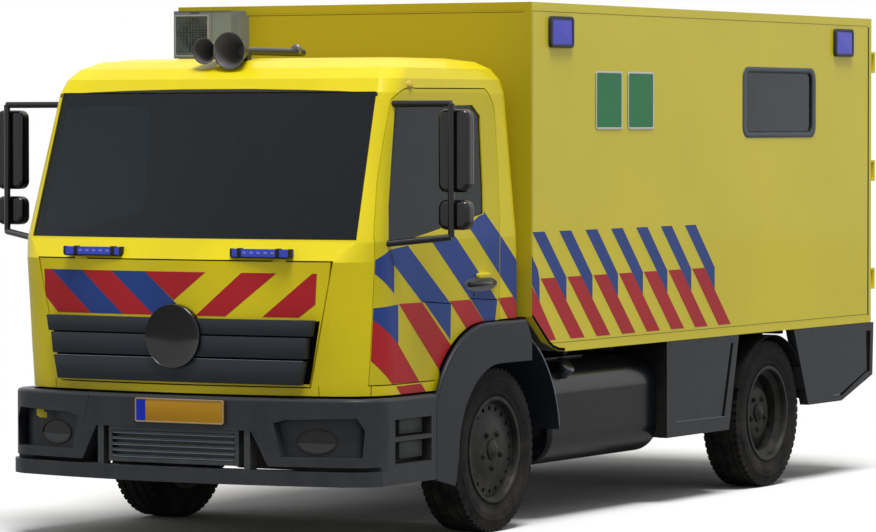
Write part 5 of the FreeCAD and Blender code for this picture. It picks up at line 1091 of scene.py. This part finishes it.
# The paler lens on the lamp's lower half is painted light; the upper half keeps the darker lens.
lower_half = [(x, z) for x, z in ellipse(LAMP_X, LAMP_Z, 0.105, 0.059, 80) if z < 0.583]
lit_half_lens = outline_prism(lower_half, "Y", -0.0035, 0.001)
finish("lamp_grey", (70, 74, 84), 0.3, coat=0.5, dust=0.0)
finish("lamp_smoke", (42, 46, 52), 0.25, coat=0.3, dust=0.0)
make_piece("bumper_lamp_lit_halves", both(lay_on_lamp(lit_half_lens)), "lamp_smoke", "chassis", "lens_dark")
finish("lens_amber", (206, 180, 20), 0.25, coat=0.4, dust=0.0)

TRAY_X, TRAY_FRONT, TRAY_REAR, TRAY_WALL = 1.104, -1.200, -0.800, 0.0015
trays, treads = [], []
for low, high, block_low, block_high in ((0.460, 0.585, 0.484, 0.578), (0.607, 0.705, 0.617, 0.700)):
    inner_low, inner_high = low + TRAY_WALL, high - TRAY_WALL
    walls = ((TRAY_FRONT, low, TRAY_REAR, inner_low), (TRAY_FRONT, inner_high, TRAY_REAR, high),
        (TRAY_FRONT, inner_low, TRAY_FRONT + TRAY_WALL, inner_high),
        (TRAY_REAR - TRAY_WALL, inner_low, TRAY_REAR, inner_high))
    trays += both_prisms([rectangle(*wall) for wall in walls], "X", TRAY_X, 1.186)
    trays += both(plate(TRAY_FRONT, low, TRAY_REAR, high, 0, "X", TRAY_X - 0.004, TRAY_X))
    treads += both(plate(TRAY_FRONT + 0.115, block_low, TRAY_REAR - 0.035, block_high, 0, "X", TRAY_X, 1.150, 0.004))
make_piece("step_trays", trays, "frame_black", "chassis", "frame_black")
finish("tread_grey", (62, 68, 70), 0.5, grain_scale=200, grain_by=0.3, dust=0.2, shine=0.3)
make_piece("step_treads", treads, "tread_grey")
print("bumper details")

# %% [markdown]
# Mirror glass, door handles, marker lamps and the black band over the windscreen belong to the cab.
# The glass is a flat inset pane on the mirror's back. The handle is an oval dish with a bar across it.
# The band is cut out of the cab's own skin, so it follows the bend of the brow.

# %% Mirror glass
finish("mirror_glass", (196, 202, 208), 0.04, metallic=1.0, dust=0.0, clouds_by=0.02)
MIRROR_BACK_Y, MIRROR_INNER_X, MIRROR_OUTER_X, PANE_INSET = -0.946, 1.355, 1.545, 0.022
panes = [round_rectangle(MIRROR_INNER_X + PANE_INSET, low + PANE_INSET,
    MIRROR_OUTER_X - PANE_INSET, high - PANE_INSET, 0.026) for low, high in ((1.930, 2.380), (1.728, 1.890))]
for side, turn in SIDES:
    shapes = [turn(outline_prism(pane, "Y", MIRROR_BACK_Y - 0.002, MIRROR_BACK_Y + 0.0015, 0.0008)) for pane in panes]
    make_piece("mirror_glass_" + side, shapes, "mirror_glass", "cab_door_" + side, "mirror_black")
print("mirror glass")

# %% Door handles
DOOR_X, BOWL_Y, BOWL_Z = 1.1475, -0.165, 1.405
HANDLE = [(0.002, -0.300, 1.405), (0.020, -0.280, 1.406), (0.025, -0.170, 1.408), (0.020, -0.050, 1.408),
    (0.002, -0.030, 1.407)]
bowl_outer, bowl_inner = ellipse(BOWL_Y, BOWL_Z, 0.190, 0.042), ellipse(BOWL_Y, BOWL_Z, 0.184, 0.037)
finish("handle_bowl", (74, 82, 92), 0.3, coat=0.3, grain_scale=200, grain_by=0.05, dust=0.05)
for side, turn in SIDES:
    ring = frame_ring(bowl_outer, bowl_inner, "X", DOOR_X - 0.001, DOOR_X + 0.003, 0.001)
    bowl = outline_prism(bowl_inner, "X", DOOR_X - 0.001, DOOR_X + 0.0012)
    make_piece("handle_bowl_" + side, [turn(ring), turn(bowl)], "handle_bowl", "cab_door_" + side)
    bar = tube([at(DOOR_X + out, y, z) for out, y, z in HANDLE], 0.0145, 14)
    lock = spin_profile([(0.0, 0.0), (0.0, 0.010), (0.004, 0.010), (0.005, 0.008), (0.005, 0.0)],
        at(DOOR_X, -0.235, 1.350), ACROSS, 20)
    make_piece("handle_bar_" + side, [turn(bar), turn(lock)], "mirror_black", "cab_door_" + side)
    hood = plate(-0.215, 1.438, -0.085, 1.466, 0.008, "X", DOOR_X - 0.001, DOOR_X + 0.022, 0.003)
    make_piece("handle_hood_" + side, turn(hood), "body_yellow", "cab_door_" + side, "body_yellow")
print("door handles")

# %% Marker lamps and windscreen band
domes = both(spin_profile([(0.0, 0.030), (0.010, 0.029), (0.018, 0.024), (0.024, 0.014), (0.026, 0.0), (0.0, 0.0)],
    at(1.078, -0.870, 2.512), Vector((0.75, -0.1, 0.65)), 24))
make_piece("marker_lamps", domes, "lens_amber", "chassis", "lens_dark")
brow = [(-1.034, 2.452), (1.034, 2.452), (1.032, 2.470), (0.802, 2.479), (0.548, 2.487), (0.227, 2.493),
    (-0.227, 2.493), (-0.548, 2.487), (-0.802, 2.479), (-1.032, 2.470)]
make_piece("windscreen_band", foil("cab_shell", "front", brow, 2.80, 0.0012), "dish_black")
seams = [foil("cab_shell", "front", rectangle(low_x, 0.836, low_x + 0.003, 0.892), 3.00)
    for low_x in (0.8505, -0.8535)]
seams += [foil("cab_shell", side, rectangle(-1.2975, 0.836, -1.2940, 0.892), SHELL_BEYOND)
    for side in ("left", "right")]
make_piece("sill_joints", seams, "frame_black")
print("marker lamps, band and sill joints")

# %% [markdown]
# The box wall is bent inwards under its front corner, and a near-black strip below that bend is painted
# shade. The strip is a narrow band that follows five measured points, on both sides. The box's front edges
# take the darker front yellow, painted shade as on the front wall.

# %% Box chamfer shade and front edges
def band(line, width):
    """Outline of a band below a line of (along, height) points."""
    lower = []
    for index, (a, b) in enumerate(line):
        before, after = line[max(index - 1, 0)], line[min(index + 1, len(line) - 1)]
        along = Vector((after[0] - before[0], after[1] - before[1])).normalized()
        lower.append((a + along.y * width, b - along.x * width))
    return line + lower[::-1]


CHAMFER = [(0.3615, 1.203), (0.559, 1.048), (0.620, 1.015), (0.690, 0.997), (0.766, 0.990)]
chamfer_shade = both(outline_prism(band(CHAMFER, -0.016), "X", 1.1885, 1.1922))
make_piece("box_chamfer_shade", chamfer_shade, "deep_shade_black")
# The front-facing faces of the box's roof and sides, in the darker front yellow: painted shade.
edges = [foil("box_roof", "front", rectangle(-1.2, 2.90, 1.2, 3.01), 1.42),
    foil("box_side_left", "front", rectangle(1.10, 1.0, 1.21, 3.01), 1.42),
    foil("box_side_right", "front", rectangle(-1.21, 1.0, -1.10, 3.01), 1.42)]
make_piece("box_front_edge_shade", edges, "shaded_front_yellow", slot_name="box_yellow")
print("chamfer seal", len(CHAMFER), "points")

# %% [markdown]
# Over each rear wheel a black curved sheet lies under the box floor as painted shade in the arch. It is one
# curved sheet about the wheel, some 25 mm outside the tyre, from the mid skirt round to the rear skirt.

# %% Rear wheel-arch shade sheets
REAR_AXLE_Y = 3.620


def arc(centre_y, radius, first, last, steps=36):
    """Points round an axle from one angle to another, in degrees."""
    turns = [math.radians(first + (last - first) * step / steps) for step in range(steps + 1)]
    return [(centre_y + radius * math.cos(turn), AXLE_Z + radius * math.sin(turn)) for turn in turns]


arch_shade = arc(REAR_AXLE_Y, 0.495, 8, 158) + arc(REAR_AXLE_Y, 0.499, 8, 158)[::-1]
arch_shade_web = arc(REAR_AXLE_Y, 0.497, 8, 158) + [(3.160, 0.984), (4.110, 0.984)]
make_piece("rear_arch_shade_sheets", both(outline_prism(arch_shade, "X", 0.860, 1.182))
    + both(outline_prism(arch_shade_web, "X", 0.860, 0.863)), "shade_sheet_black", "chassis", "frame_black")
# A pale line along the edge of each front mudguard's rear sheet: a painted highlight.
lower, upper = ([(y, z) for y, z in arc(0.0, radius, 8, 52) if z > 0.560] for radius in (0.702, 0.711))
make_piece("guard_sheet_highlights", both(outline_prism(lower + upper[::-1], "X", 1.1890, 1.1915)), "edge_highlight")
print("arch liners")

# %% [markdown]
# The side skirts are bolted panels with a pressed edge, one slot and one joint each. The marks are thin
# prisms on the outer face: near black in the slot and along the pressed edge as painted shade, and pale
# along the joints as painted highlights. A black face on each mid skirt's front end is painted shade too.

# %% Skirt details
SKIRT_X = 1.190
slots = [[(2.989, 0.936), (3.022, 0.941), (2.894, 0.490), (2.858, 0.490)],
    [(5.060, 0.931), (5.128, 0.931), (5.116, 0.660), (5.072, 0.660)],
    [(5.072, 0.672), (5.100, 0.672), (4.660, 0.522), (4.630, 0.530)]]
make_piece("skirt_slot_shades", both_prisms(slots, "X", SKIRT_X - 0.001, SKIRT_X + 0.0012), "deep_shade_black")
seams = [[(2.228, 0.492), (2.903, 0.486), (2.903, 0.490), (2.228, 0.496)], rectangle(4.528, 0.529, 4.667, 0.5345)]
make_piece("skirt_seam_highlights", both_prisms(seams, "X", SKIRT_X - 0.001, SKIRT_X + 0.0010), "edge_highlight")
make_piece("skirt_front_shade_faces", both_prisms([rectangle(2.0935, 0.404, 2.0965, 0.982)], "X", 0.700, 1.1895),
    "shade_sheet_black")
bolts = []
for x in (SKIRT_X, -SKIRT_X):
    for first, last, count in ((2.150, 2.980, 5), (3.990, 5.060, 6)):
        bolts.append(row("frame_black", count, (x, first, 0.962), (x, last, 0.962), (0.003, 0.010, 0.010)))
make_piece("skirt_bolts", bolts, "frame_black")
print("skirt details")

# %% [markdown]
# The tank's filler has a screwed cap that leans out at half a right angle. It is turned from one
# profile: skirt, grip, rounded top. A row of grip teeth stands round it, laid out one by one, because the
# ring tree only faces sideways.

# %% Filler cap and tank top highlight
TOOTH_COUNT = 20
cap_axis = Vector((1, 0, 1)).normalized()
cap_centre = at(1.0673, 0.950, 0.8623)
profile = [(0.030, 0.0), (0.030, 0.052), (0.034, 0.0575), (0.054, 0.0575), (0.060, 0.052), (0.063, 0.040),
    (0.064, 0.0)]
cap = [spin_profile(profile, cap_centre, cap_axis, 40)]
side_way = cap_axis.cross(ALONG).normalized()
for step in range(TOOTH_COUNT):
    turn = turn_at(step, TOOTH_COUNT)
    foot = cap_centre + (side_way * math.cos(turn) + ALONG * math.sin(turn)) * 0.0575
    cap.append(tube([foot + cap_axis * 0.036, foot + cap_axis * 0.053], 0.003, 6))
make_piece("filler_cap", cap, "cap_metal", "chassis", "tank_black")
# A pale strip along the tank's top: a painted highlight.
top_highlight = plate(1.045, 0.919, 1.510, 0.926, 0, "X", 0.862, 0.915)
make_piece("tank_top_highlight", top_highlight, "edge_highlight", "chassis", "tank_black")
print("filler cap")

# %% [markdown]
# The cooling unit is a pale steel case. Its fan sits behind a square guard: a pale frame, a dark plate
# with a round hole, and a mesh of fine wires. The wires are rows from the row tree.

# %% Cooling unit guard
COOLER_Y = 0.196
guard_outer = round_rectangle(-1.109, 2.697, -0.872, 2.943, 0.006, 2)
guard_inner = round_rectangle(-1.100, 2.706, -0.881, 2.934, 0.004, 2)
make_piece("cooler_guard_frame", frame_ring(guard_outer, guard_inner, "Y", COOLER_Y - 0.006, COOLER_Y + 0.001, 0.001),
    "cooler_rim", "chassis", "cooler_white")
FAN_X, FAN_Z, FAN_R, GUARD_POINTS = -0.985, 2.827, 0.1065, 48
REACH_IN, REACH_OUT, REACH_UP = 0.104, 0.115, 0.107
PLATE_CORNERS = ((-0.881, 2.934), (-1.100, 2.934), (-1.100, 2.720), (-0.881, 2.720))
hole, square = [], []
for step in range(GUARD_POINTS):
    c, s = math.cos(turn_at(step, GUARD_POINTS)), math.sin(turn_at(step, GUARD_POINTS))
    hole.append((FAN_X + FAN_R * c, FAN_Z + FAN_R * s))
    reach = min((REACH_IN if c > 0 else REACH_OUT) / max(abs(c), 1e-6), REACH_UP / max(abs(s), 1e-6))
    square.append((FAN_X + reach * c, FAN_Z + reach * s))
for corner in PLATE_CORNERS:
    nearest = min(range(GUARD_POINTS), key=lambda k: math.dist(square[k], corner))
    square[nearest] = corner
make_piece("cooler_guard_plate", frame_ring(square, hole, "Y", COOLER_Y - 0.0015, COOLER_Y + 0.001), "mesh_dark",
    "chassis", "cooler_white")
wires, WIRE_Y = [], COOLER_Y - 0.004
for count, first, last, block in ((22, (-0.9905, 2.712), (-0.9905, 2.928), (0.219, 0.0016, 0.0022)),
                                  (9, (-1.080, 2.820), (-0.901, 2.820), (0.0022, 0.0016, 0.228))):
    wires.append(row("mesh_wire", count, (first[0], WIRE_Y, first[1]), (last[0], WIRE_Y, last[1]), block))
make_piece("cooler_mesh", wires, "mesh_wire", "chassis", "cooler_white")
seam = [strip((-0.851, COOLER_Y, 2.690), (-0.851, COOLER_Y, 2.964), (0.0024, 0.0012, 0)),
    strip((-1.004, COOLER_Y - 0.001, 2.952), (-0.942, COOLER_Y - 0.001, 2.957), (0, 0.0012, 0)),
    strip((-1.1165, COOLER_Y - 0.003, 2.9645), (-0.7205, COOLER_Y - 0.001, 2.9652), (0, 0.0012, 0.001))]
make_piece("cooler_seams", seam, "bezel", "chassis", "cooler_white")
print("cooler guard", len(wires), "wire rows")

# %% [markdown]
# The air horns are spun trumpets. Their insides flare like a bell, which the frame's plain cones don't
# show, so a thin spun bell lies inside each mouth with a rolled rim. A round driver sits at the pipe's end.

# %% Horn bells and driver
# The bells' paler grey is a painted reflection of the room inside the mouths.
bells = []
for x, mouth in ((0.045, 0.104), (-0.119, 0.074)):
    inner_line = [(0.002 + 0.140 * share,
        mouth - 0.0055 - (mouth - 0.022) * 0.80 * share - 0.004 * math.sin(math.pi * share))
        for share in (step / 8 for step in range(9))]
    outer_line = [(along, max(radius - 0.0012, 0.002)) for along, radius in inner_line[::-1]]
    bells.append(spin_profile(inner_line + outer_line, at(x, -1.050, 2.706), ALONG, 48))
    bells.append(spin_profile(ellipse(0.0, mouth - 0.0026, 0.0024, 0.0024, 10), at(x, -1.048, 2.706), ALONG, 48))
make_piece("horn_bells", bells, "horn_inside", "chassis", "horn_metal")
driver = [spin_profile([(0.0, 0.0), (0.0, 0.026), (0.006, 0.032), (0.024, 0.032), (0.038, 0.025), (0.044, 0.0)],
    at(0.045, -0.345, 2.7220), ALONG, 32)]
make_piece("horn_driver", driver, "horn_inside", "chassis", "horn_metal")
print("horns")

# %% [markdown]
# Each rear door is held by a lock rod with keepers at top and bottom, turned by a flat handle. Rubber
# lips close the gaps round the panes. All of it lies flat on the doors, within 2 mm, so that the vehicle
# keeps its length.

# %% Rear door rods, handles and lips
ROD_X, ROD_HALF, REAR_FACE_Y = 0.080, 0.0075, 5.1955
KEEPER_HEIGHTS, KEEPER_HALF_X, KEEPER_HALF_Z = (1.060, 1.420, 2.200, 2.620, 2.920), 0.022, 0.018
for side, turn in SIDES:
    body = "rear_door_" + side
    rod = [plate(ROD_X - ROD_HALF, 1.030, ROD_X + ROD_HALF, 2.950, 0.004, "Y", REAR_FACE_Y, 5.1974, 0.0006)]
    for z in KEEPER_HEIGHTS:
        rod.append(plate(ROD_X - KEEPER_HALF_X, z - KEEPER_HALF_Z, ROD_X + KEEPER_HALF_X, z + KEEPER_HALF_Z, 0.005,
            "Y", REAR_FACE_Y, 5.1978, 0.0006))
    make_piece("lock_rod_" + side, [turn(shape) for shape in rod], "rod_steel", body)
    handle = [plate(0.070, 1.560, 0.300, 1.606, 0.012, "Y", 5.1960, 5.1978, 0.0006),
        plate(0.055, 1.540, 0.120, 1.626, 0.010, "Y", REAR_FACE_Y, 5.1972, 0.0005)]
    make_piece("lock_handle_" + side, [turn(shape) for shape in handle], "mirror_black", body)
    outer = round_rectangle(0.320, 2.025, 0.870, 2.575, 0.035)
    inner = round_rectangle(0.340, 2.045, 0.850, 2.555, 0.012)
    lip = frame_ring(outer, inner, "Y", 5.190, 5.1976, 0.0006)
    make_piece("rear_glass_lip_" + side, turn(lip), "frame_black", body)
print("rear door rods and handles")

# %% [markdown]
# A rear lamp is one block, but each of its lights has a lens of its own colour. So thin plates lie on
# the block: red at both ends, amber for turning, and a narrow clear one for reversing.

# %% Rear lamp lenses
lamp_rows = {"lens_red": [(0.706, 0.806), (0.946, 1.024)], "lens_amber": [(0.812, 0.906)],
    "lamp_grey": [(0.912, 0.940)]}
for (finish_name, parts), label in zip(lamp_rows.items(), ("red", "amber", "clear")):
    outlines = [round_rectangle(low, 0.627, high, 0.733, 0.006) for low, high in parts]
    make_piece("rear_lamp_" + label, both_prisms(outlines, "Y", 5.057, 5.0605, 0.0012), finish_name, "chassis",
        "lens_red")
print("rear lamps")

# %% [markdown]
# The seats are foam under tight cloth. Each cushion starts as a rounded block that is a little too
# small, is remeshed into even faces, and is blown up by the cloth simulation, so that its middle rises
# and its corners hold back. A cap keeps every point near its start. One seat is made and mirrored.

# %% Padded seats
VOXEL, MOMENTS = 0.010, 20


def soft_block(low, high, radius):
    """Rounded block between two corners, as a plain mesh."""
    outline = round_rectangle(low[1], low[2], high[1], high[2], radius, 4)
    shape = outline_prism(outline, "X", low[0], high[0], radius, 3)
    mesh = bpy.data.meshes.new("soft")
    bmesh.ops.triangulate(shape, faces=[face for face in shape.faces if len(face.verts) > 4])
    shape.to_mesh(mesh)
    shape.free()
    return mesh


def keep_mesh(thing):
    """Mesh of an object with its modifiers applied."""
    graph = bpy.context.evaluated_depsgraph_get()
    return bpy.data.meshes.new_from_object(thing.evaluated_get(graph))


def blow_up(mesh, name, cap):
    """Cloth cushion from a mesh: remesh, pressure, capped movement, one subdivision."""
    thing = bpy.data.objects.new(name, mesh)
    scene.collection.objects.link(thing)
    remesh = thing.modifiers.new("remesh", "REMESH")
    remesh.mode, remesh.voxel_size = "VOXEL", VOXEL
    even = keep_mesh(thing)
    thing.modifiers.clear()
    thing.data = even
    start = [vert.co.copy() for vert in even.vertices]
    cloth = thing.modifiers.new("cloth", "CLOTH")
    cloth.settings.quality = 4
    cloth.settings.use_pressure = True
    cloth.settings.uniform_pressure_force = 4
    cloth.settings.tension_stiffness = 20
    cloth.settings.effector_weights.gravity = 0
    cloth.point_cache.frame_start, cloth.point_cache.frame_end = 1, MOMENTS
    for moment in range(1, MOMENTS + 1):
        scene.frame_set(moment)
    blown = keep_mesh(thing)
    thing.modifiers.clear()
    scene.frame_set(1)
    for vert, first in zip(blown.vertices, start):
        way = vert.co - first
        if way.length > cap:
            vert.co = first + way.normalized() * cap
    thing.data = blown
    smooth = thing.modifiers.new("smooth", "SUBSURF")
    smooth.levels = smooth.render_levels = 1
    final = keep_mesh(thing)
    bpy.data.objects.remove(thing)
    return final


CUSHIONS = {"cushion": ((0.328, -0.622, 1.575), (0.792, -0.155, 1.672), 0.034),
    "back": ((0.328, -0.122, 1.600), (0.792, -0.040, 2.205), 0.030),
    "head": ((0.450, -0.115, 2.262), (0.670, -0.045, 2.400), 0.026)}
for label, (low, high, radius) in CUSHIONS.items():
    mesh = blow_up(soft_block(low, high, radius), "seat_" + label, 0.013 if label == "head" else 0.016)
    for side, turn in SIDES:
        shape = bmesh.new()
        shape.from_mesh(mesh)
        piece = make_piece(f"seat_{label}_{side}", turn(shape), "seat_cloth", "chassis", "seat_cloth", 80)
print("cushions", 2 * len(CUSHIONS))

# %% [markdown]
# Piping follows the seams of each cushion, and the seat stands on a steel box with a tilt frame, which
# takes the place of the frame's plain base.

# %% Seat piping, base and posts
seams = [[at(0.350, -0.600, 1.680), at(0.770, -0.600, 1.680), at(0.770, -0.175, 1.680), at(0.350, -0.175, 1.680)],
    [at(0.352, -0.137, 1.640), at(0.768, -0.137, 1.640), at(0.768, -0.137, 2.170), at(0.352, -0.137, 2.170)]]
piping = [shape for seam in seams for shape in both(tube(seam, 0.004, 8, closed=True))]
make_piece("seat_piping", piping, "frame_black", "chassis", "seat_cloth")
bases = both(plate(0.380, -0.560, 0.740, -0.200, 0.030, "Z", 1.252, 1.500, 0.006))
bases += both(plate(0.340, -0.600, 0.780, -0.160, 0.030, "Z", 1.500, 1.562, 0.010))
for x in (0.500, 0.620):
    bases += both(tube([at(x, -0.080, 2.190), at(x, -0.080, 2.280)], 0.006, 12))
base = make_piece("seat_bases", bases, "dash_grey", "chassis", "seat_cloth")
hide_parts("seats")
print("seat bases")

# %% [markdown]
# The dashboard shows through the screen as a dark shelf. It gets a hood over the instruments, a row of
# vent slats, and a centre panel, so that it isn't one bare block.

# %% Dashboard details
hood = [(-1.060, 1.786), (-0.900, 1.786), (-0.880, 1.840), (-0.930, 1.862), (-1.020, 1.852)]
dash = [outline_prism(hood, "X", 0.380, 0.740, 0.010)]
dash.append(plate(-0.150, 1.500, 0.150, 1.740, 0.020, "Y", -0.874, -0.864, 0.003))
make_piece("dash_hood", dash, "dash_grey", "chassis", "dash_grey")
vents = []
for x in (-0.90, -0.30, 0.25, 0.86):
    vents.append(row("frame_black", 7, (x, -1.180, 1.7925), (x, -1.080, 1.7925), (0.180, 0.005, 0.003)))
make_piece("dash_vents", vents, "frame_black", "chassis", "dash_grey")
print("dashboard with", len(vents), "vents")

# %% [markdown]
# A small yellow corner of the cab's lower panel shows in the right lamp bay, in the darker front yellow as
# painted shade, and thin bright strips run along the radiator's fins as painted reflections, which a row of
# narrow blocks gives.

# %% Bay corner and radiator fin highlights
tab = [(-0.952, 0.728), (-0.952, 0.676), (-0.938, 0.676), (-0.938, 0.668), (-0.884, 0.668), (-0.884, 0.694),
    (-0.906, 0.704), (-0.906, 0.728)]
make_piece("bay_corner", outline_prism(tab, "Y", -1.482, -1.478, 0.001), "shaded_front_yellow", "chassis", "body_yellow")
radiator_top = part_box("radiator_pack")[1].z
RIB_COUNT, RIB_SHARE, CORE_BASE_Z, FIN_Y = 6, 0.45, 0.450, -1.5605
rib_pitch = (radiator_top - CORE_BASE_Z) / RIB_COUNT
edge_z = CORE_BASE_Z + rib_pitch * (1 - RIB_SHARE / 2) + 0.002
fin_highlights = row("fin_highlight", RIB_COUNT - 1, (0, FIN_Y, edge_z), (0, FIN_Y, edge_z + rib_pitch * (RIB_COUNT - 2)),
    (0.780, 0.0020, 0.0036))
make_piece("radiator_fin_highlights", fin_highlights, "fin_highlight", "chassis", "radiator_grey")
print("bay corner")
